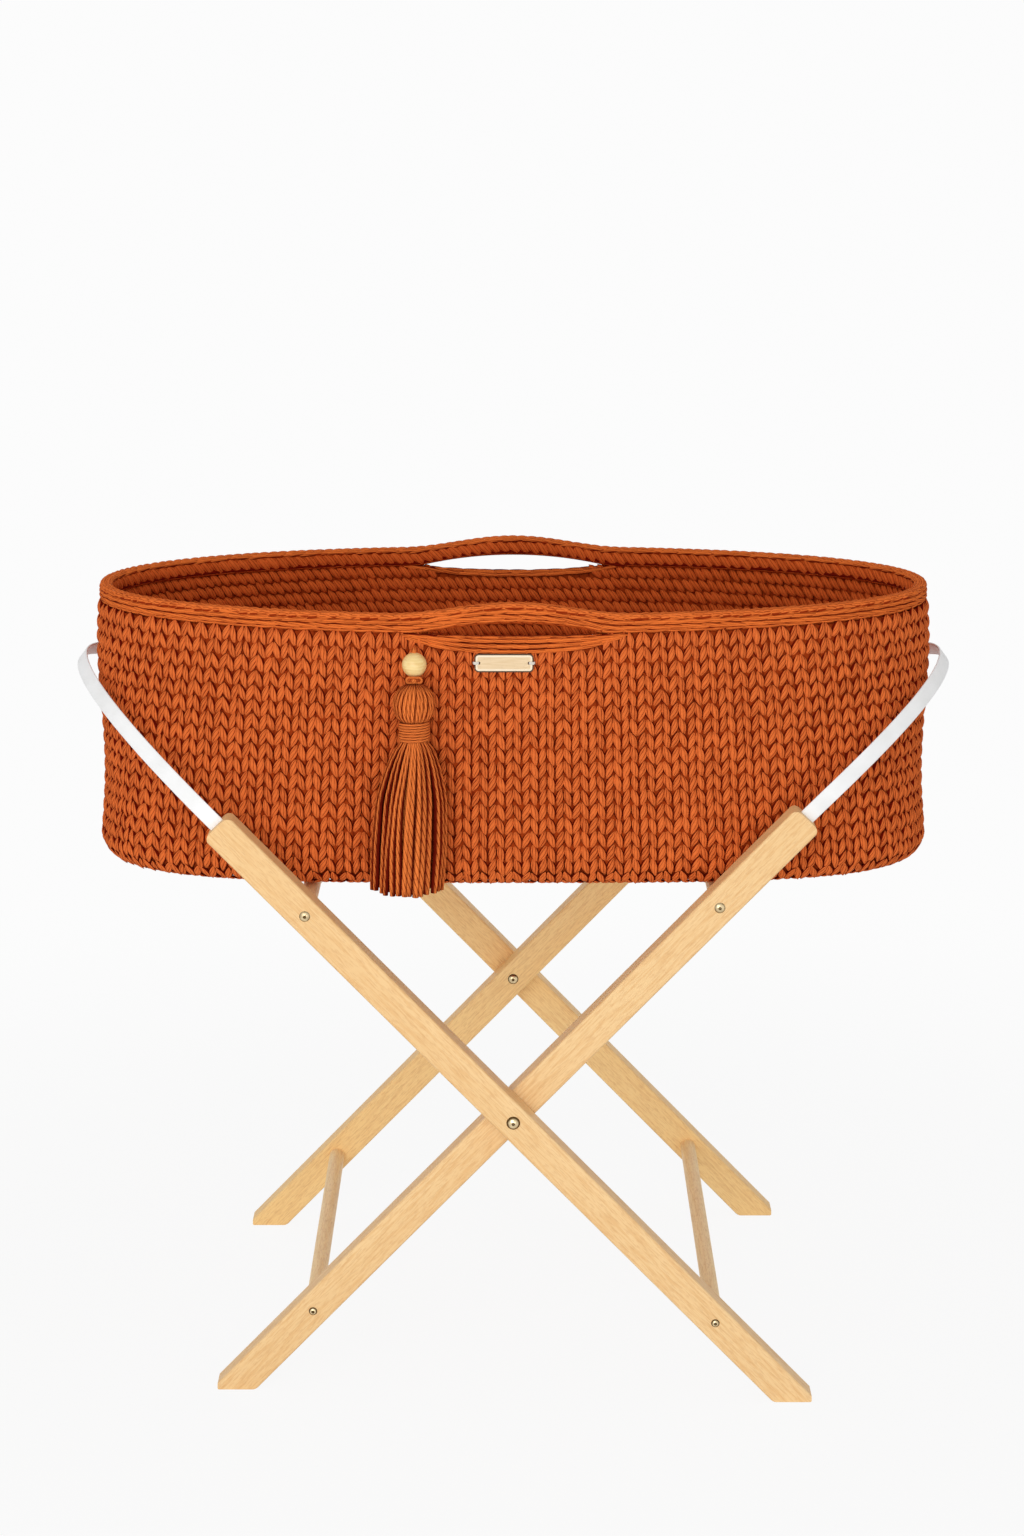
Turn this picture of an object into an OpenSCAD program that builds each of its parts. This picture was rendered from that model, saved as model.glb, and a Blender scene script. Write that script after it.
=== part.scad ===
// A crocheted baby basket on a folding beech stand.
// Two leg frames cross at a pivot bolt on each side. Webbing under the basket limits how far they
// open, and a soft band at each end keeps the basket from sliding off.
// X runs along the basket, Y from front to back, Z up. The origin is on the floor, below the middle.

/* [Basket] */
// Length of the basket
basket_l = 800; // [720:5:880]
// Width of the basket
basket_w = 390; // [340:2:420]
// Height from the underside to the top of the rim
basket_h = 258; // [220:2:290]
// Thickness of the crocheted wall
wall_t = 12; // [9:0.5:15]
// Radius of the rounded edge between wall and base
base_round = 24; // [20:1:36]
// Squareness of the plan at the base, where 2 is an ellipse
plan_low = 3.5; // [2.2:0.1:4]
// Squareness of the plan at the rim
plan_high = 2.15; // [2:0.05:2.6]
// How far the ends of the basket are drawn in at their waist, and bulge below the rim
waist = 3.5; // [0:0.5:6]
// Thickness of the crocheted base
base_t = 10; // [7:0.5:12]
// Thickness of the plywood stiffener on the base
board_t = 4; // [3:0.5:6]
// Thickness of the crocheted layer over the stiffener
lining_t = 7; // [4:0.5:10]

/* [Rim and handles] */
// Height of the rim band
rim_h = 19; // [16:1:30]
// Thickness of the rim band
rim_t = 14; // [12:0.5:18]
// Length of the front hand hole
front_hole_l = 178; // [140:2:210]
// Length of the rear hand hole
rear_hole_l = 200; // [140:2:210]
// How far the rim rises over the middle of the hand hole
hand_hole_h = 11; // [8:0.5:14]
// How far the wall dips under the middle of the front hand hole
front_dip = 1.5; // [0:0.5:8]
// How far the wall dips under the middle of the rear hand hole
rear_dip = 6; // [0:0.5:8]
// Length of the stretch of rim that arches over the hand hole
handle_l = 230; // [200:5:270]
// How far a handle runs on past its arch, at each end
handle_tail = 10; // [5:1:20]
// Height that the rim arches up at the handle
handle_rise = 11; // [4:0.5:16]

/* [Legs] */
// Width of a leg, seen from the front
leg_w = 31; // [26:1:36]
// Thickness of a leg
leg_t = 25; // [22:1:30]
// Angle between an open leg and the floor
leg_angle = 46.3; // [42:0.1:50]
// Height of the pivots above the floor
pivot_h = 279; // [250:1:300]
// Distance from the pivot to the top end of a leg
leg_reach = 390; // [360:1:415]
// Distance from the top end of a leg down to its rail
rail_inset = 115; // [100:1:130]
// Radius along the long edges
edge_r = 2.5; // [1:0.5:4]
// Corner radius of the top end
top_r = 7; // [4:0.5:10]
// Corner radius of the heel
heel_r = 9; // [4:0.5:14]
// Height of the blunt toe
toe_h = 6; // [4:0.5:9]

/* [Rails] */
// Diameter of the four round rails
rail_d = 16; // [14:0.5:20]

/* [Pivots] */
// Outer diameter of the sleeve nut that the legs turn on
sleeve_d = 8; // [7:0.5:10]
// Diameter of the bolt inside the sleeve nut
bolt_d = 5; // [4:0.5:6]
// Diameter of the domed bolt head
bolt_head_d = 12.7; // [11:0.1:16]
// Height of the domed bolt head
bolt_head_h = 3.6; // [2.5:0.1:5]
// Diameter of the domed sleeve nut head
sleeve_head_d = 11; // [10.5:0.1:14]
// Height of the domed sleeve nut head
sleeve_head_h = 2.6; // [2:0.1:4]
// How far the sleeve nut's barrel ends short of the outer leg's face
sleeve_short = 3; // [2:0.5:6]
// Depth of the thread inside the sleeve nut
thread_depth = 30; // [24:1:36]
// Outer diameter of the nylon spacer between the legs
spacer_d = 22; // [16:1:26]
// Thickness of the nylon spacer
spacer_t = 3; // [2.8:0.1:5]

/* [Rail screws] */
// Diameter of the screws through the legs into the rails
screw_d = 4; // [3.5:0.5:5]
// Head diameter of the upper screws
upper_head_d = 10; // [8:0.5:12]
// Head diameter of the lower screws
lower_head_d = 8; // [7:0.5:10]
// Height of the domed screw heads
screw_head_h = 2.2; // [1.6:0.1:2.6]
// Length of screw inside a rail
screw_bite = 32; // [24:1:40]
// Width across the flats of the hexagon sockets
socket_w = 3; // [2:0.5:3.5]
// Depth of the hexagon sockets
socket_depth = 1.2; // [0.8:0.1:1.5]

/* [End bands] */
// Width of the soft band round each end of the basket
band_w = 15; // [10:0.5:18]
// Thickness of the band
band_t = 2; // [1.5:0.1:3]
// Length of band glued into each leg
band_tuck = 28; // [20:1:36]
// Gap between the band and the end of the basket
band_standoff = 18; // [9:0.5:22]
// Height of the far end of the band above the underside of the basket
band_rise = 184; // [150:2:200]
// How far the band runs on in line with the leg before it turns
band_lead = 40; // [24:1:60]
// How far the band runs straight across the end of the basket, each way
band_sweep = 115; // [85:1:130]

/* [Carrying webbing] */
// Width of the two webbing straps under the basket
web_w = 30; // [24:1:40]
// Thickness of the webbing
web_t = 1.8; // [1.4:0.1:2.4]
// Distance of each strap from the middle of the rails
web_place = 95; // [70:5:120]
// Length of the sewn lap that closes each loop
web_lap = 45; // [30:1:60]

/* [Name plate and bead] */
// Length of the blank name plate
plate_l = 54; // [44:1:60]
// Width of the name plate
plate_w = 17; // [13:0.5:19]
// Thickness of the name plate
plate_t = 1.2; // [0.8:0.1:2]
// Corner radius of the name plate
plate_r = 4; // [1:0.5:6]
// Diameter of the hole at each end of the name plate
plate_hole_d = 3; // [2.5:0.1:4]
// Distance from a plate hole to the end of the plate
plate_margin = 4; // [3:0.5:6]
// Place of the name plate along the basket
plate_x = -8.5; // [-20:0.5:20]
// Distance of the plate and the bead below the top of the rim
trim_drop = 44; // [40:1:56]
// Diameter of the sewing thread
thread_d = 1.4; // [1:0.1:2]
// Diameter of the wooden bead
bead_d = 22.5; // [18:0.5:26]
// Place of the bead and the tassel along the basket
bead_x = -90; // [-110:1:-75]
// Diameter of the cord through the bead
cord_d = 3.8; // [3:0.1:4.5]
// Radius of the bend where that cord turns back to the wall
cord_bend = 2.4; // [2.3:0.1:4]

/* [Tassel] */
// Width of the tassel's head
head_w = 39; // [34:1:44]
// Height of the tassel's head
head_h = 36; // [32:1:42]
// Front to back depth of the tassel's head
head_depth = 31; // [26:1:34]
// Width of the bound neck
neck_w = 29; // [24:1:32]
// Front to back depth of the bound neck
neck_depth = 24; // [20:1:28]
// Height of the bound neck
neck_h = 18; // [14:1:20]
// Diameter of the binding yarn
binding_d = 2.2; // [1.8:0.1:2.4]
// Turns of binding yarn
binding_turns = 5; // [3:1:5]
// Length of the skirt of yarn
skirt_h = 143; // [120:1:155]
// Width of the skirt where it is widest
skirt_w = 70; // [55:1:75]
// Front to back depth of the skirt where it is widest
skirt_depth = 34; // [30:1:40]
// How far the hem hangs to one side of the head, where minus is left
skirt_lean = -8; // [-10:0.5:10]
// Yarn ridges round the head and the skirt
ridges = 20; // [14:1:24]
// Height of the yarn ridges, as a share of the radius
ridge_rise = 0.05; // [0.02:0.01:0.08]
// Diameter of the pin of cord that the tassel hangs on
hanger_d = 2.6; // [2.2:0.1:3.6]
// Diameter of the knob at the end of that pin
knob_d = 4.6; // [4:0.1:6]
// Thickness of the ring of yarn that hangs on it
loop_t = 2.3; // [2:0.1:3.2]
// Width of that ring
loop_w = 16; // [10:0.5:20]

/* [Clearances] */
// Gap between the basket and the inner legs, on each side
side_gap = 2; // [1.5:0.5:6]
// Radial play of a shaft in its hole
run_fit = 0.05; // [0.03:0.01:0.1]
// Gap between faces that slide on each other
slide_gap = 0.2; // [0.1:0.05:0.4]
// Gap between soft pieces and what they rest on
soft_gap = 0.3; // [0.2:0.05:0.4]

/* [Hidden] */

// Colours, as seen on the real thing
beech = "#e6bd84";
brass = "#c9a14a";
nylon = "#e9e6de";
white_band = "#f4f3ef";
rust_yarn = "#b4622c";
plywood = "#d9bd8c";
plate_gold = "#d8c79a";

// Steps round the basket, up its wall, and on each rounded corner and bend
plan_steps = 120;
wall_steps = 5;
corner_steps = 5;
bend_steps = 14;
// Steps round one turn of the binding, and round its yarn
turn_steps = 24;
yarn_sides = 6;
// Sides of other thin yarn and thread
thread_sides = 16;
// Points on each yarn ridge of the tassel
ridge_points = 4;
$fn = 48;
// Small overlap that lets a cutter pass right through a face
past = 1;

// Legs: places along Y of the faces and mid planes
inner_face = basket_w / 2 + side_gap;
inner_y = inner_face + leg_t / 2;
leg_gap = spacer_t + slide_gap;
outer_y = inner_y + leg_t + leg_gap;
outer_face = outer_y + leg_t / 2;
leg_dir = [cos(leg_angle), sin(leg_angle)];
leg_side = [-leg_dir.y, leg_dir.x];

// Rails, as far above the pivot as below it, and the webbing loops round the upper ones
rail_reach = leg_reach - rail_inset;
rail_x = rail_reach * leg_dir.x;
rail_z = pivot_h + rail_reach * leg_dir.y;
web_in = rail_d / 2 + soft_gap;
web_out = web_in + web_t;

// Basket: heights
basket_z = rail_z + web_out + soft_gap;
rim_top = basket_z + basket_h;
rim_z = rim_top - rim_h;
wall_top = rim_z - slide_gap;
trim_z = rim_top - trim_drop;
lining_top = basket_z + base_t + board_t + lining_t + 2 * slide_gap;

// Tassel: heights and its place in front of the wall
hanger_z = trim_z - bead_d / 2 - soft_gap - hanger_d / 2;
loop_r = hanger_d / 2 + run_fit + loop_t / 2;
head_top = hanger_z - loop_r - loop_t / 2 - slide_gap;
neck_top = head_top - head_h;
skirt_top = neck_top - neck_h;
hem_z = skirt_top - skirt_h;
tassel_y = -(basket_w / 2 + soft_gap + skirt_depth / 2);

// Functions for outlines and swept surfaces

function unit(v) = v / norm(v);
function mix(a, b, t) = a + (b - a) * t;

// Points of the arc that rounds corner p, between its neighbours a and b
function corner_arc(p, a, b, r) =
    let (u = unit(a - p), v = unit(b - p), half = acos(u * v) / 2)
    let (c = p + unit(u + v) * r / sin(half))
    let (first = p + u * r / tan(half) - c, last = p + v * r / tan(half) - c)
    let (from = atan2(first.y, first.x), to = atan2(last.y, last.x))
    let (turn = to - from, sweep = abs(turn) > 180 ? turn - 360 * sign(turn) : turn)
    [for (i = [0 : corner_steps]) c + r * [cos(from + sweep * i / corner_steps),
                                           sin(from + sweep * i / corner_steps)]];

// Outline with each corner rounded by its own radius
function rounded(points, radii) =
    let (n = len(points))
    [for (i = [0 : n - 1])
        each corner_arc(points[i], points[(i + n - 1) % n], points[(i + 1) % n], radii[i])];

// Triangles over a grid of rows and columns. Columns always close on themselves.
function skin(rows, cols, closed) =
    [for (r = [0 : rows - (closed ? 1 : 2)], c = [0 : cols - 1])
        let (up = ((r + 1) % rows) * cols, here = r * cols, next = (c + 1) % cols)
        each [[here + c, up + c, up + next], [here + c, up + next, here + next]]];

// Fans that close the first and last row, round two centre points added after the grid
function fans(rows, cols) =
    [for (c = [0 : cols - 1])
        let (next = (c + 1) % cols, last = (rows - 1) * cols)
        each [[rows * cols, c, next], [rows * cols + 1, last + next, last + c]]];

// A closed body through rows of points, with flat ends
module sweep_body(rows_of_points) {
    rows = len(rows_of_points);
    cols = len(rows_of_points[0]);
    ends = [for (row = [rows_of_points[0], rows_of_points[rows - 1]])
        [for (axis = [0 : 2]) [for (p = row) p[axis]] * [for (p = row) 1] / cols]];
    points = concat([for (row = rows_of_points) each row], ends);
    polyhedron(points, concat(skin(rows, cols, false), fans(rows, cols)), convexity = 6);
}

// A ring-shaped body through rows of points, each row running once round the basket
module ring_body(rows_of_points) {
    rows = len(rows_of_points);
    cols = len(rows_of_points[0]);
    polyhedron([for (row = rows_of_points) each row], skin(rows, cols, true), convexity = 8);
}

// Legs

// Outline of a leg that rises to the right, with its pivot at the origin
function leg_outline() =
    let (half = leg_w / 2, floor_z = -pivot_h)
    let (heel_s = (floor_z + half * leg_dir.x) / leg_dir.y)
    let (toe_s = (floor_z + toe_h - half * leg_dir.x) / leg_dir.y)
    let (toe = leg_dir * toe_s + leg_side * half)
    rounded([
        leg_dir * heel_s - leg_side * half,
        leg_dir * leg_reach - leg_side * half,
        leg_dir * leg_reach + leg_side * half,
        toe,
        [toe.x, floor_z]
    ], [heel_r, top_r, top_r, toe_h / 4, toe_h / 4]);

// Bar section with rounded edges, as long as the leg and a little more
module leg_bar() {
    half = [leg_w / 2, leg_t / 2];
    bar = (pivot_h + leg_w) / leg_dir.y + leg_reach;
    rotate([0, 90 - leg_angle, 0])
        translate([0, 0, -(pivot_h + leg_w) / leg_dir.y])
            linear_extrude(bar + past)
                polygon(rounded([half, [-half.x, half.y], -half, [half.x, -half.y]],
                                [edge_r, edge_r, edge_r, edge_r]));
}

module cross_hole(d) {
    rotate([90, 0, 0])
        cylinder(h = leg_t + 2 * past, d = d, center = true);
}

// A leg that rises to the right, with its pivot at the origin
module leg() {
    play = 2 * run_fit;
    difference() {
        intersection() {
            rotate([90, 0, 0])
                linear_extrude(leg_t, center = true)
                    polygon(leg_outline());
            leg_bar();
        }
        cross_hole(sleeve_d + play);
        for (reach = [-rail_reach, rail_reach])
            translate([reach * leg_dir.x, 0, reach * leg_dir.y])
                cross_hole(screw_d + play);
        // Mortise for the end band
        rotate([0, 90 - leg_angle, 0])
            translate([0, 0, leg_reach - band_tuck / 2 + past])
                cube([band_w + 2 * slide_gap, band_t + 2 * slide_gap, band_tuck + 2 * past],
                     center = true);
    }
}

module placed_leg(y, rises) {
    color(beech)
        translate([0, y, pivot_h])
            mirror([rises < 0 ? 1 : 0, 0, 0])
                leg();
}

module outer_leg_front() { placed_leg(-outer_y, -1); }
module outer_leg_rear() { placed_leg(outer_y, -1); }
module inner_leg_front() { placed_leg(-inner_y, 1); }
module inner_leg_rear() { placed_leg(inner_y, 1); }

// Rails

// A rail between two faces, with a pilot hole for a screw at each end
module rail(side, height, face) {
    color(beech)
        translate([side * rail_x, 0, pivot_h + height * (rail_z - pivot_h)])
            rotate([90, 0, 0])
                difference() {
                    cylinder(h = 2 * face, d = rail_d, center = true);
                    for (end = [-1, 1])
                        translate([0, 0, end * face])
                            cylinder(h = 2 * (screw_bite + past), d = screw_d + 2 * run_fit, center = true);
                }
}

outer_rail_face = outer_face - leg_t;
module upper_rail_left() { rail(-1, 1, outer_rail_face); }
module lower_rail_right() { rail(1, -1, outer_rail_face); }
module upper_rail_right() { rail(1, 1, inner_face); }
module lower_rail_left() { rail(-1, -1, inner_face); }

// Fasteners

// Domed head on the plane z = 0, with a hexagon socket
module domed_head(d, h) {
    ball_r = (d * d / 4 + h * h) / (2 * h);
    difference() {
        intersection() {
            translate([0, 0, h - ball_r])
                sphere(r = ball_r);
            cylinder(h = h + past, d = d + past);
        }
        translate([0, 0, h - socket_depth])
            cylinder(h = socket_depth + past, d = socket_w / cos(30), $fn = 6);
    }
}

// A turned fastener whose head rests on the plane y = face, on the front or the rear side
module fastener(face, side, head_d, head_h, shank_d, shank_l) {
    translate([0, side * face, 0])
        rotate([-90 * side, 0, 0]) {
            domed_head(head_d, head_h);
            translate([0, 0, -shank_l])
                cylinder(h = shank_l, d = shank_d);
        }
}

// Length of the sleeve nut's barrel, which ends short of the outer leg's face
sleeve_l = 2 * leg_t + leg_gap + slide_gap - sleeve_short;

module pivot_bolt(side) {
    shank_l = outer_face - inner_face - sleeve_l + slide_gap + thread_depth - past;
    color(brass)
        translate([0, 0, pivot_h])
            fastener(outer_face, side, bolt_head_d, bolt_head_h, bolt_d - 2 * run_fit, shank_l);
}
module pivot_bolt_front() { pivot_bolt(-1); }
module pivot_bolt_rear() { pivot_bolt(1); }

// Threaded sleeve with a domed head on the inner face of the inner leg
module sleeve_nut(side) {
    color(brass)
        translate([0, side * (inner_face - slide_gap), pivot_h])
            rotate([90 * side, 0, 0])
                difference() {
                    union() {
                        domed_head(sleeve_head_d, sleeve_head_h);
                        translate([0, 0, -sleeve_l])
                            cylinder(h = sleeve_l, d = sleeve_d);
                    }
                    translate([0, 0, -sleeve_l - past])
                        cylinder(h = thread_depth + past, d = bolt_d);
                }
}
module sleeve_nut_front() { sleeve_nut(-1); }
module sleeve_nut_rear() { sleeve_nut(1); }

module pivot_spacers() {
    color(nylon)
        for (side = [-1, 1])
            translate([0, side * (outer_rail_face - spacer_t / 2), pivot_h])
                rotate([90, 0, 0])
                    difference() {
                        cylinder(h = spacer_t, d = spacer_d, center = true);
                        cylinder(h = spacer_t + 2 * past, d = sleeve_d + 2 * run_fit, center = true);
                    }
}

// Four screws of one frame: rises is -1 for the outer frame and 1 for the inner one
module rail_screws(face, rises) {
    color(brass)
        for (side = [-1, 1], height = [-1, 1])
            translate([rises * height * rail_x, 0, pivot_h + height * (rail_z - pivot_h)])
                fastener(face, side, height > 0 ? upper_head_d : lower_head_d, screw_head_h,
                         screw_d, leg_t + screw_bite);
}
module outer_rail_screws() { rail_screws(outer_face, -1); }
module inner_rail_screws() { rail_screws(inner_face + leg_t, 1); }

// End bands

// Path of the front half of the band at the right end, from the leg to the middle of the end
function band_point(y, t) =
    let (from = [leg_reach * leg_dir.x, -y, pivot_h + leg_reach * leg_dir.y])
    let (to = [basket_l / 2 + band_standoff, 0, basket_z + band_rise])
    let (lead = from + band_lead * [leg_dir.x, 0, leg_dir.y], sweep = to - [0, band_sweep, 0])
    from * pow(1 - t, 3) + lead * 3 * t * pow(1 - t, 2) + sweep * 3 * t * t * (1 - t) + to * pow(t, 3);

// Corners of the band's section: it stands square to the leg at first, then leans with the end
function band_section(centre, along, across) =
    let (wide = unit(across - (across * along) * along))
    let (thick = cross(along, wide) * band_t / 2, half = wide * band_w / 2)
    [centre + half - thick, centre + half + thick, centre - half + thick, centre - half - thick];

function band_rows(y) =
    let (small = 0.001, leg3 = [leg_dir.x, 0, leg_dir.y], side3 = [leg_side.x, 0, leg_side.y])
    let (span = band_point(y, 1) - band_point(y, 0), lean = unit([-span.z, 0, span.x]))
    let (tucked = band_point(y, 0) - (band_tuck - slide_gap) * leg3)
    concat(
        [band_section(tucked, leg3, side3)],
        [for (i = [0 : bend_steps])
            let (t = i / bend_steps)
            let (along = unit(band_point(y, t + small) - band_point(y, t - small)))
            band_section(band_point(y, t), along, mix(side3, lean, t))]);

// The same section on the far half, mirrored front to back
function far_section(row) = [for (p = row) [p.x, -p.y, p.z]];

module end_band(y) {
    near = band_rows(y);
    far = [for (i = [len(near) - 2 : -1 : 0]) far_section(near[i])];
    color(white_band)
        sweep_body(concat(near, far));
}
module end_band_left() { mirror([1, 0, 0]) end_band(outer_y); }
module end_band_right() { end_band(inner_y); }

// Carrying webbing: flat between the upper rails, and looped round each and sewn under itself

module webbing(y) {
    lap_end = sqrt(web_in * web_in - (web_in - web_t) * (web_in - web_t)) + slide_gap;
    color(white_band)
        translate([0, y, rail_z])
            rotate([90, 0, 0])
                linear_extrude(web_w, center = true)
                    for (side = [0, 1])
                        mirror([side, 0]) {
                            translate([rail_x, 0])
                                difference() {
                                    circle(web_out);
                                    circle(web_in);
                                }
                            translate([0, web_in])
                                square([rail_x, web_t]);
                            translate([rail_x - lap_end - web_lap, web_in - web_t])
                                square([web_lap, web_t]);
                        }
}
module webbing_front() { webbing(-web_place); }
module webbing_rear() { webbing(web_place); }

// Basket

// Squareness of the plan at a height, easing from the base to the rim
function squareness(z) =
    let (t = min(max((z - basket_z) / basket_h, 0), 1))
    mix(plan_low, plan_high, t * t * (3 - 2 * t));

// How far the ends are drawn in at a height: a waist above the base, then a bulge below the rim
function waist_in(z) =
    let (t = (z - basket_z - base_round) / (basket_h - base_round))
    waist * sin(360 * min(max(t, 0), 1));

// Point of the plan at an angle, drawn in from the outside by inset, and at the ends by end_inset more
function plan_point(angle, inset, n, end_inset = 0) =
    let (c = cos(angle), s = sin(angle))
    let (reach = pow(pow(abs(c), n) + pow(abs(s), n), -1 / n))
    [(basket_l / 2 - inset - end_inset) * c * reach, (basket_w / 2 - inset) * s * reach];

function plan_angles() = [for (i = [0 : plan_steps - 1]) 360 * i / plan_steps];

// How far in front of the middle the wall's outer face lies at x, at height z
function wall_front(x, z) =
    let (n = squareness(z))
    basket_w / 2 * pow(1 - pow(abs(x) / (basket_l / 2 - waist_in(z)), n), 1 / n);

// Section of the wall as [inset, height]: up the outer face, over the top and down the inner face
function wall_section() =
    let (turn = [for (i = [0 : corner_steps]) 90 * i / corner_steps])
    let (inner_r = base_round - wall_t, top = wall_top - basket_z)
    let (levels = [for (i = [1 : wall_steps]) mix(base_round, top, i / wall_steps)])
    concat(
        [for (a = turn) base_round * [1 - sin(a), 1 - cos(a)]],
        [for (z = levels) [0, z]],
        [for (i = [wall_steps - 1 : -1 : 0]) [wall_t, levels[i]]],
        [for (a = turn) [base_round - inner_r * cos(a), base_round - inner_r * sin(a)]]);

// Share of a hand hole's height at a point of the plan, from its ends to its middle
function hole_share(p) = max(0, 1 - pow(2 * p.x / (p.y < 0 ? front_hole_l : rear_hole_l), 2));

module basket_wall() {
    top = wall_top - basket_z;
    rows = [for (p = wall_section())
        [for (a = plan_angles())
            let (z = basket_z + p.y, q = plan_point(a, p.x, squareness(z), waist_in(z)))
            let (dip = p.y == top ? (q.y < 0 ? front_dip : rear_dip) * hole_share(q) : 0)
            [q.x, q.y, z - dip]]];
    color(rust_yarn)
        ring_body(rows);
}

// Rise of the rim's upper edge where it arches over a hand hole
function arch_rise(x) = abs(x) < handle_l / 2 ? handle_rise * pow(cos(180 * x / handle_l), 2) : 0;

// Section of the rim band: shares of its thickness, from the outside in, and of its height
rim_section = [[0, 0.2], [0, 0.8], [0.25, 1], [0.75, 1], [1, 0.8], [1, 0.2], [0.75, 0], [0.25, 0]];

// Angle that half a handle takes up on the plan, and the seam at each of its ends
handle_share = (handle_l / 2 + handle_tail) / (basket_l / 2);
handle_turn = atan2(handle_share, pow(1 - pow(handle_share, plan_high), 1 / plan_high));
seam_turn = 0.05;

// A length of the rim between two angles of the plan
module rim_length(from, to) {
    steps = round((to - from) * plan_steps / 360);
    color(rust_yarn)
        sweep_body([for (i = [steps : -1 : 0])
            let (a = mix(from, to, i / steps), outside = plan_point(a, 0, plan_high))
            [for (p = rim_section)
                let (q = plan_point(a, p.x * rim_t, plan_high))
                [q.x, q.y, mix(rim_z + hand_hole_h * hole_share(outside), rim_top + arch_rise(outside.x), p.y)]]]);
}
module rim_right() { rim_length(handle_turn - 90, 90 - handle_turn); }
module rim_left() { rim_length(90 + handle_turn, 270 - handle_turn); }
module handle_rear() { rim_length(90 - handle_turn + seam_turn, 90 + handle_turn - seam_turn); }
module handle_front() { rim_length(270 - handle_turn + seam_turn, 270 + handle_turn - seam_turn); }

// Flat layer inside the wall's lower edge
module base_layer(z, thickness) {
    translate([0, 0, z])
        linear_extrude(thickness)
            polygon([for (a = plan_angles()) plan_point(a, base_round + soft_gap, plan_low)]);
}

module base_panel() {
    color(rust_yarn)
        base_layer(basket_z, base_t);
}
module base_board() {
    color(plywood)
        base_layer(basket_z + base_t + slide_gap, board_t);
}
module base_lining() {
    color(rust_yarn)
        base_layer(lining_top - lining_t, lining_t);
}

// Name plate and bead

plate_y = -(basket_w / 2 + soft_gap);
plate_holes = [for (end = [-1, 1]) plate_x + end * (plate_l / 2 - plate_margin)];

module name_plate() {
    half = [plate_l / 2, plate_w / 2];
    color(plate_gold)
        translate([0, plate_y, trim_z])
            rotate([90, 0, 0])
                difference() {
                    translate([plate_x, 0])
                        linear_extrude(plate_t)
                            polygon(rounded([half, [-half.x, half.y], -half, [half.x, -half.y]],
                                            [plate_r, plate_r, plate_r, plate_r]));
                    for (x = plate_holes)
                        translate([x, 0, -past])
                            cylinder(h = plate_t + 2 * past, d = plate_hole_d);
                }
}

// A stitch from each hole, over the end of the plate and back into the wall
module plate_threads() {
    reach = (plate_margin + plate_hole_d / 2 + thread_d / 2) / 2;
    color(nylon)
        for (i = [0, 1])
            translate([plate_holes[i] + (2 * i - 1) * reach, plate_y, trim_z])
                rotate([0, 0, 180])
                    rotate_extrude(angle = 180)
                        translate([reach, 0])
                            circle(d = thread_d, $fn = thread_sides);
}

bead_y = -(wall_front(bead_x, trim_z) + soft_gap + bead_d / 2);

module bead() {
    color(beech)
        translate([bead_x, bead_y, trim_z])
            difference() {
                sphere(d = bead_d);
                cylinder(h = bead_d + 2 * past, d = cord_d + 2 * run_fit, center = true);
            }
}

// Section of the bead's cord at a place, after it has turned back by an angle
function cord_ring(y, z, turn) =
    [for (i = [0 : thread_sides - 1])
        let (a = 360 * i / thread_sides, across = cord_d / 2 * sin(a))
        [cord_d / 2 * cos(a), y + across * cos(turn), z - across * sin(turn)]];

// Cord up through the bead and back to the wall, and the pin below that carries the tassel
module bead_cord() {
    bead_top = trim_z + bead_d / 2;
    cord_back = -(wall_front(bead_x, bead_top) + soft_gap);
    pin_back = -(wall_front(bead_x, hanger_z) + soft_gap);
    pin_front = tassel_y - (loop_t + knob_d) / 2;
    color(rust_yarn)
        translate([bead_x, 0, 0]) {
            sweep_body(concat(
                [cord_ring(bead_y, hanger_z, 0)],
                [for (i = [0 : corner_steps])
                    let (turn = 90 * i / corner_steps)
                    cord_ring(bead_y + cord_bend * (1 - cos(turn)), bead_top + cord_bend * sin(turn), turn)],
                [cord_ring(cord_back, bead_top + cord_bend, 90)]));
            translate([0, pin_back, hanger_z])
                rotate([90, 0, 0])
                    cylinder(h = pin_back - pin_front, d = hanger_d, $fn = thread_sides);
            translate([0, pin_front, hanger_z])
                sphere(d = knob_d, $fn = thread_sides);
        }
}

// Tassel

// Flat ring of yarn: two half circles joined by straight runs above and below the pin
module tassel_loop() {
    spread = loop_w / 2 - loop_r - loop_t / 2;
    color(rust_yarn)
        translate([bead_x, tassel_y, hanger_z]) {
            for (side = [0, 180])
                rotate([0, side, 0])
                    translate([spread, 0, 0])
                        rotate([90, 0, 0])
                            rotate([0, 0, -90])
                                rotate_extrude(angle = 180)
                                    translate([loop_r, 0])
                                        circle(d = loop_t, $fn = thread_sides);
            for (z = [-loop_r, loop_r])
                translate([0, 0, z])
                    rotate([0, 90, 0])
                        cylinder(h = 2 * spread, d = loop_t, center = true, $fn = thread_sides);
        }
}

// A body of yarn ridges through rows of [height, half width, half depth, ridge rise, shift sideways]
module ridged(rows) {
    points = ridges * ridge_points;
    color(rust_yarn)
        translate([bead_x, tassel_y, 0])
            sweep_body([for (row = rows)
                [for (i = [0 : points - 1])
                    let (a = 360 * i / points, swell = 1 - row[3] * (1 - cos(ridges * a)))
                    [row[4] + row[1] * cos(a) * swell, row[2] * sin(a) * swell, row[0]]]]);
}

// The head is a rounded body from the latitude at its neck to the one at its top
head_from = -64;
head_to = 72;
head_steps = 8;

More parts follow.
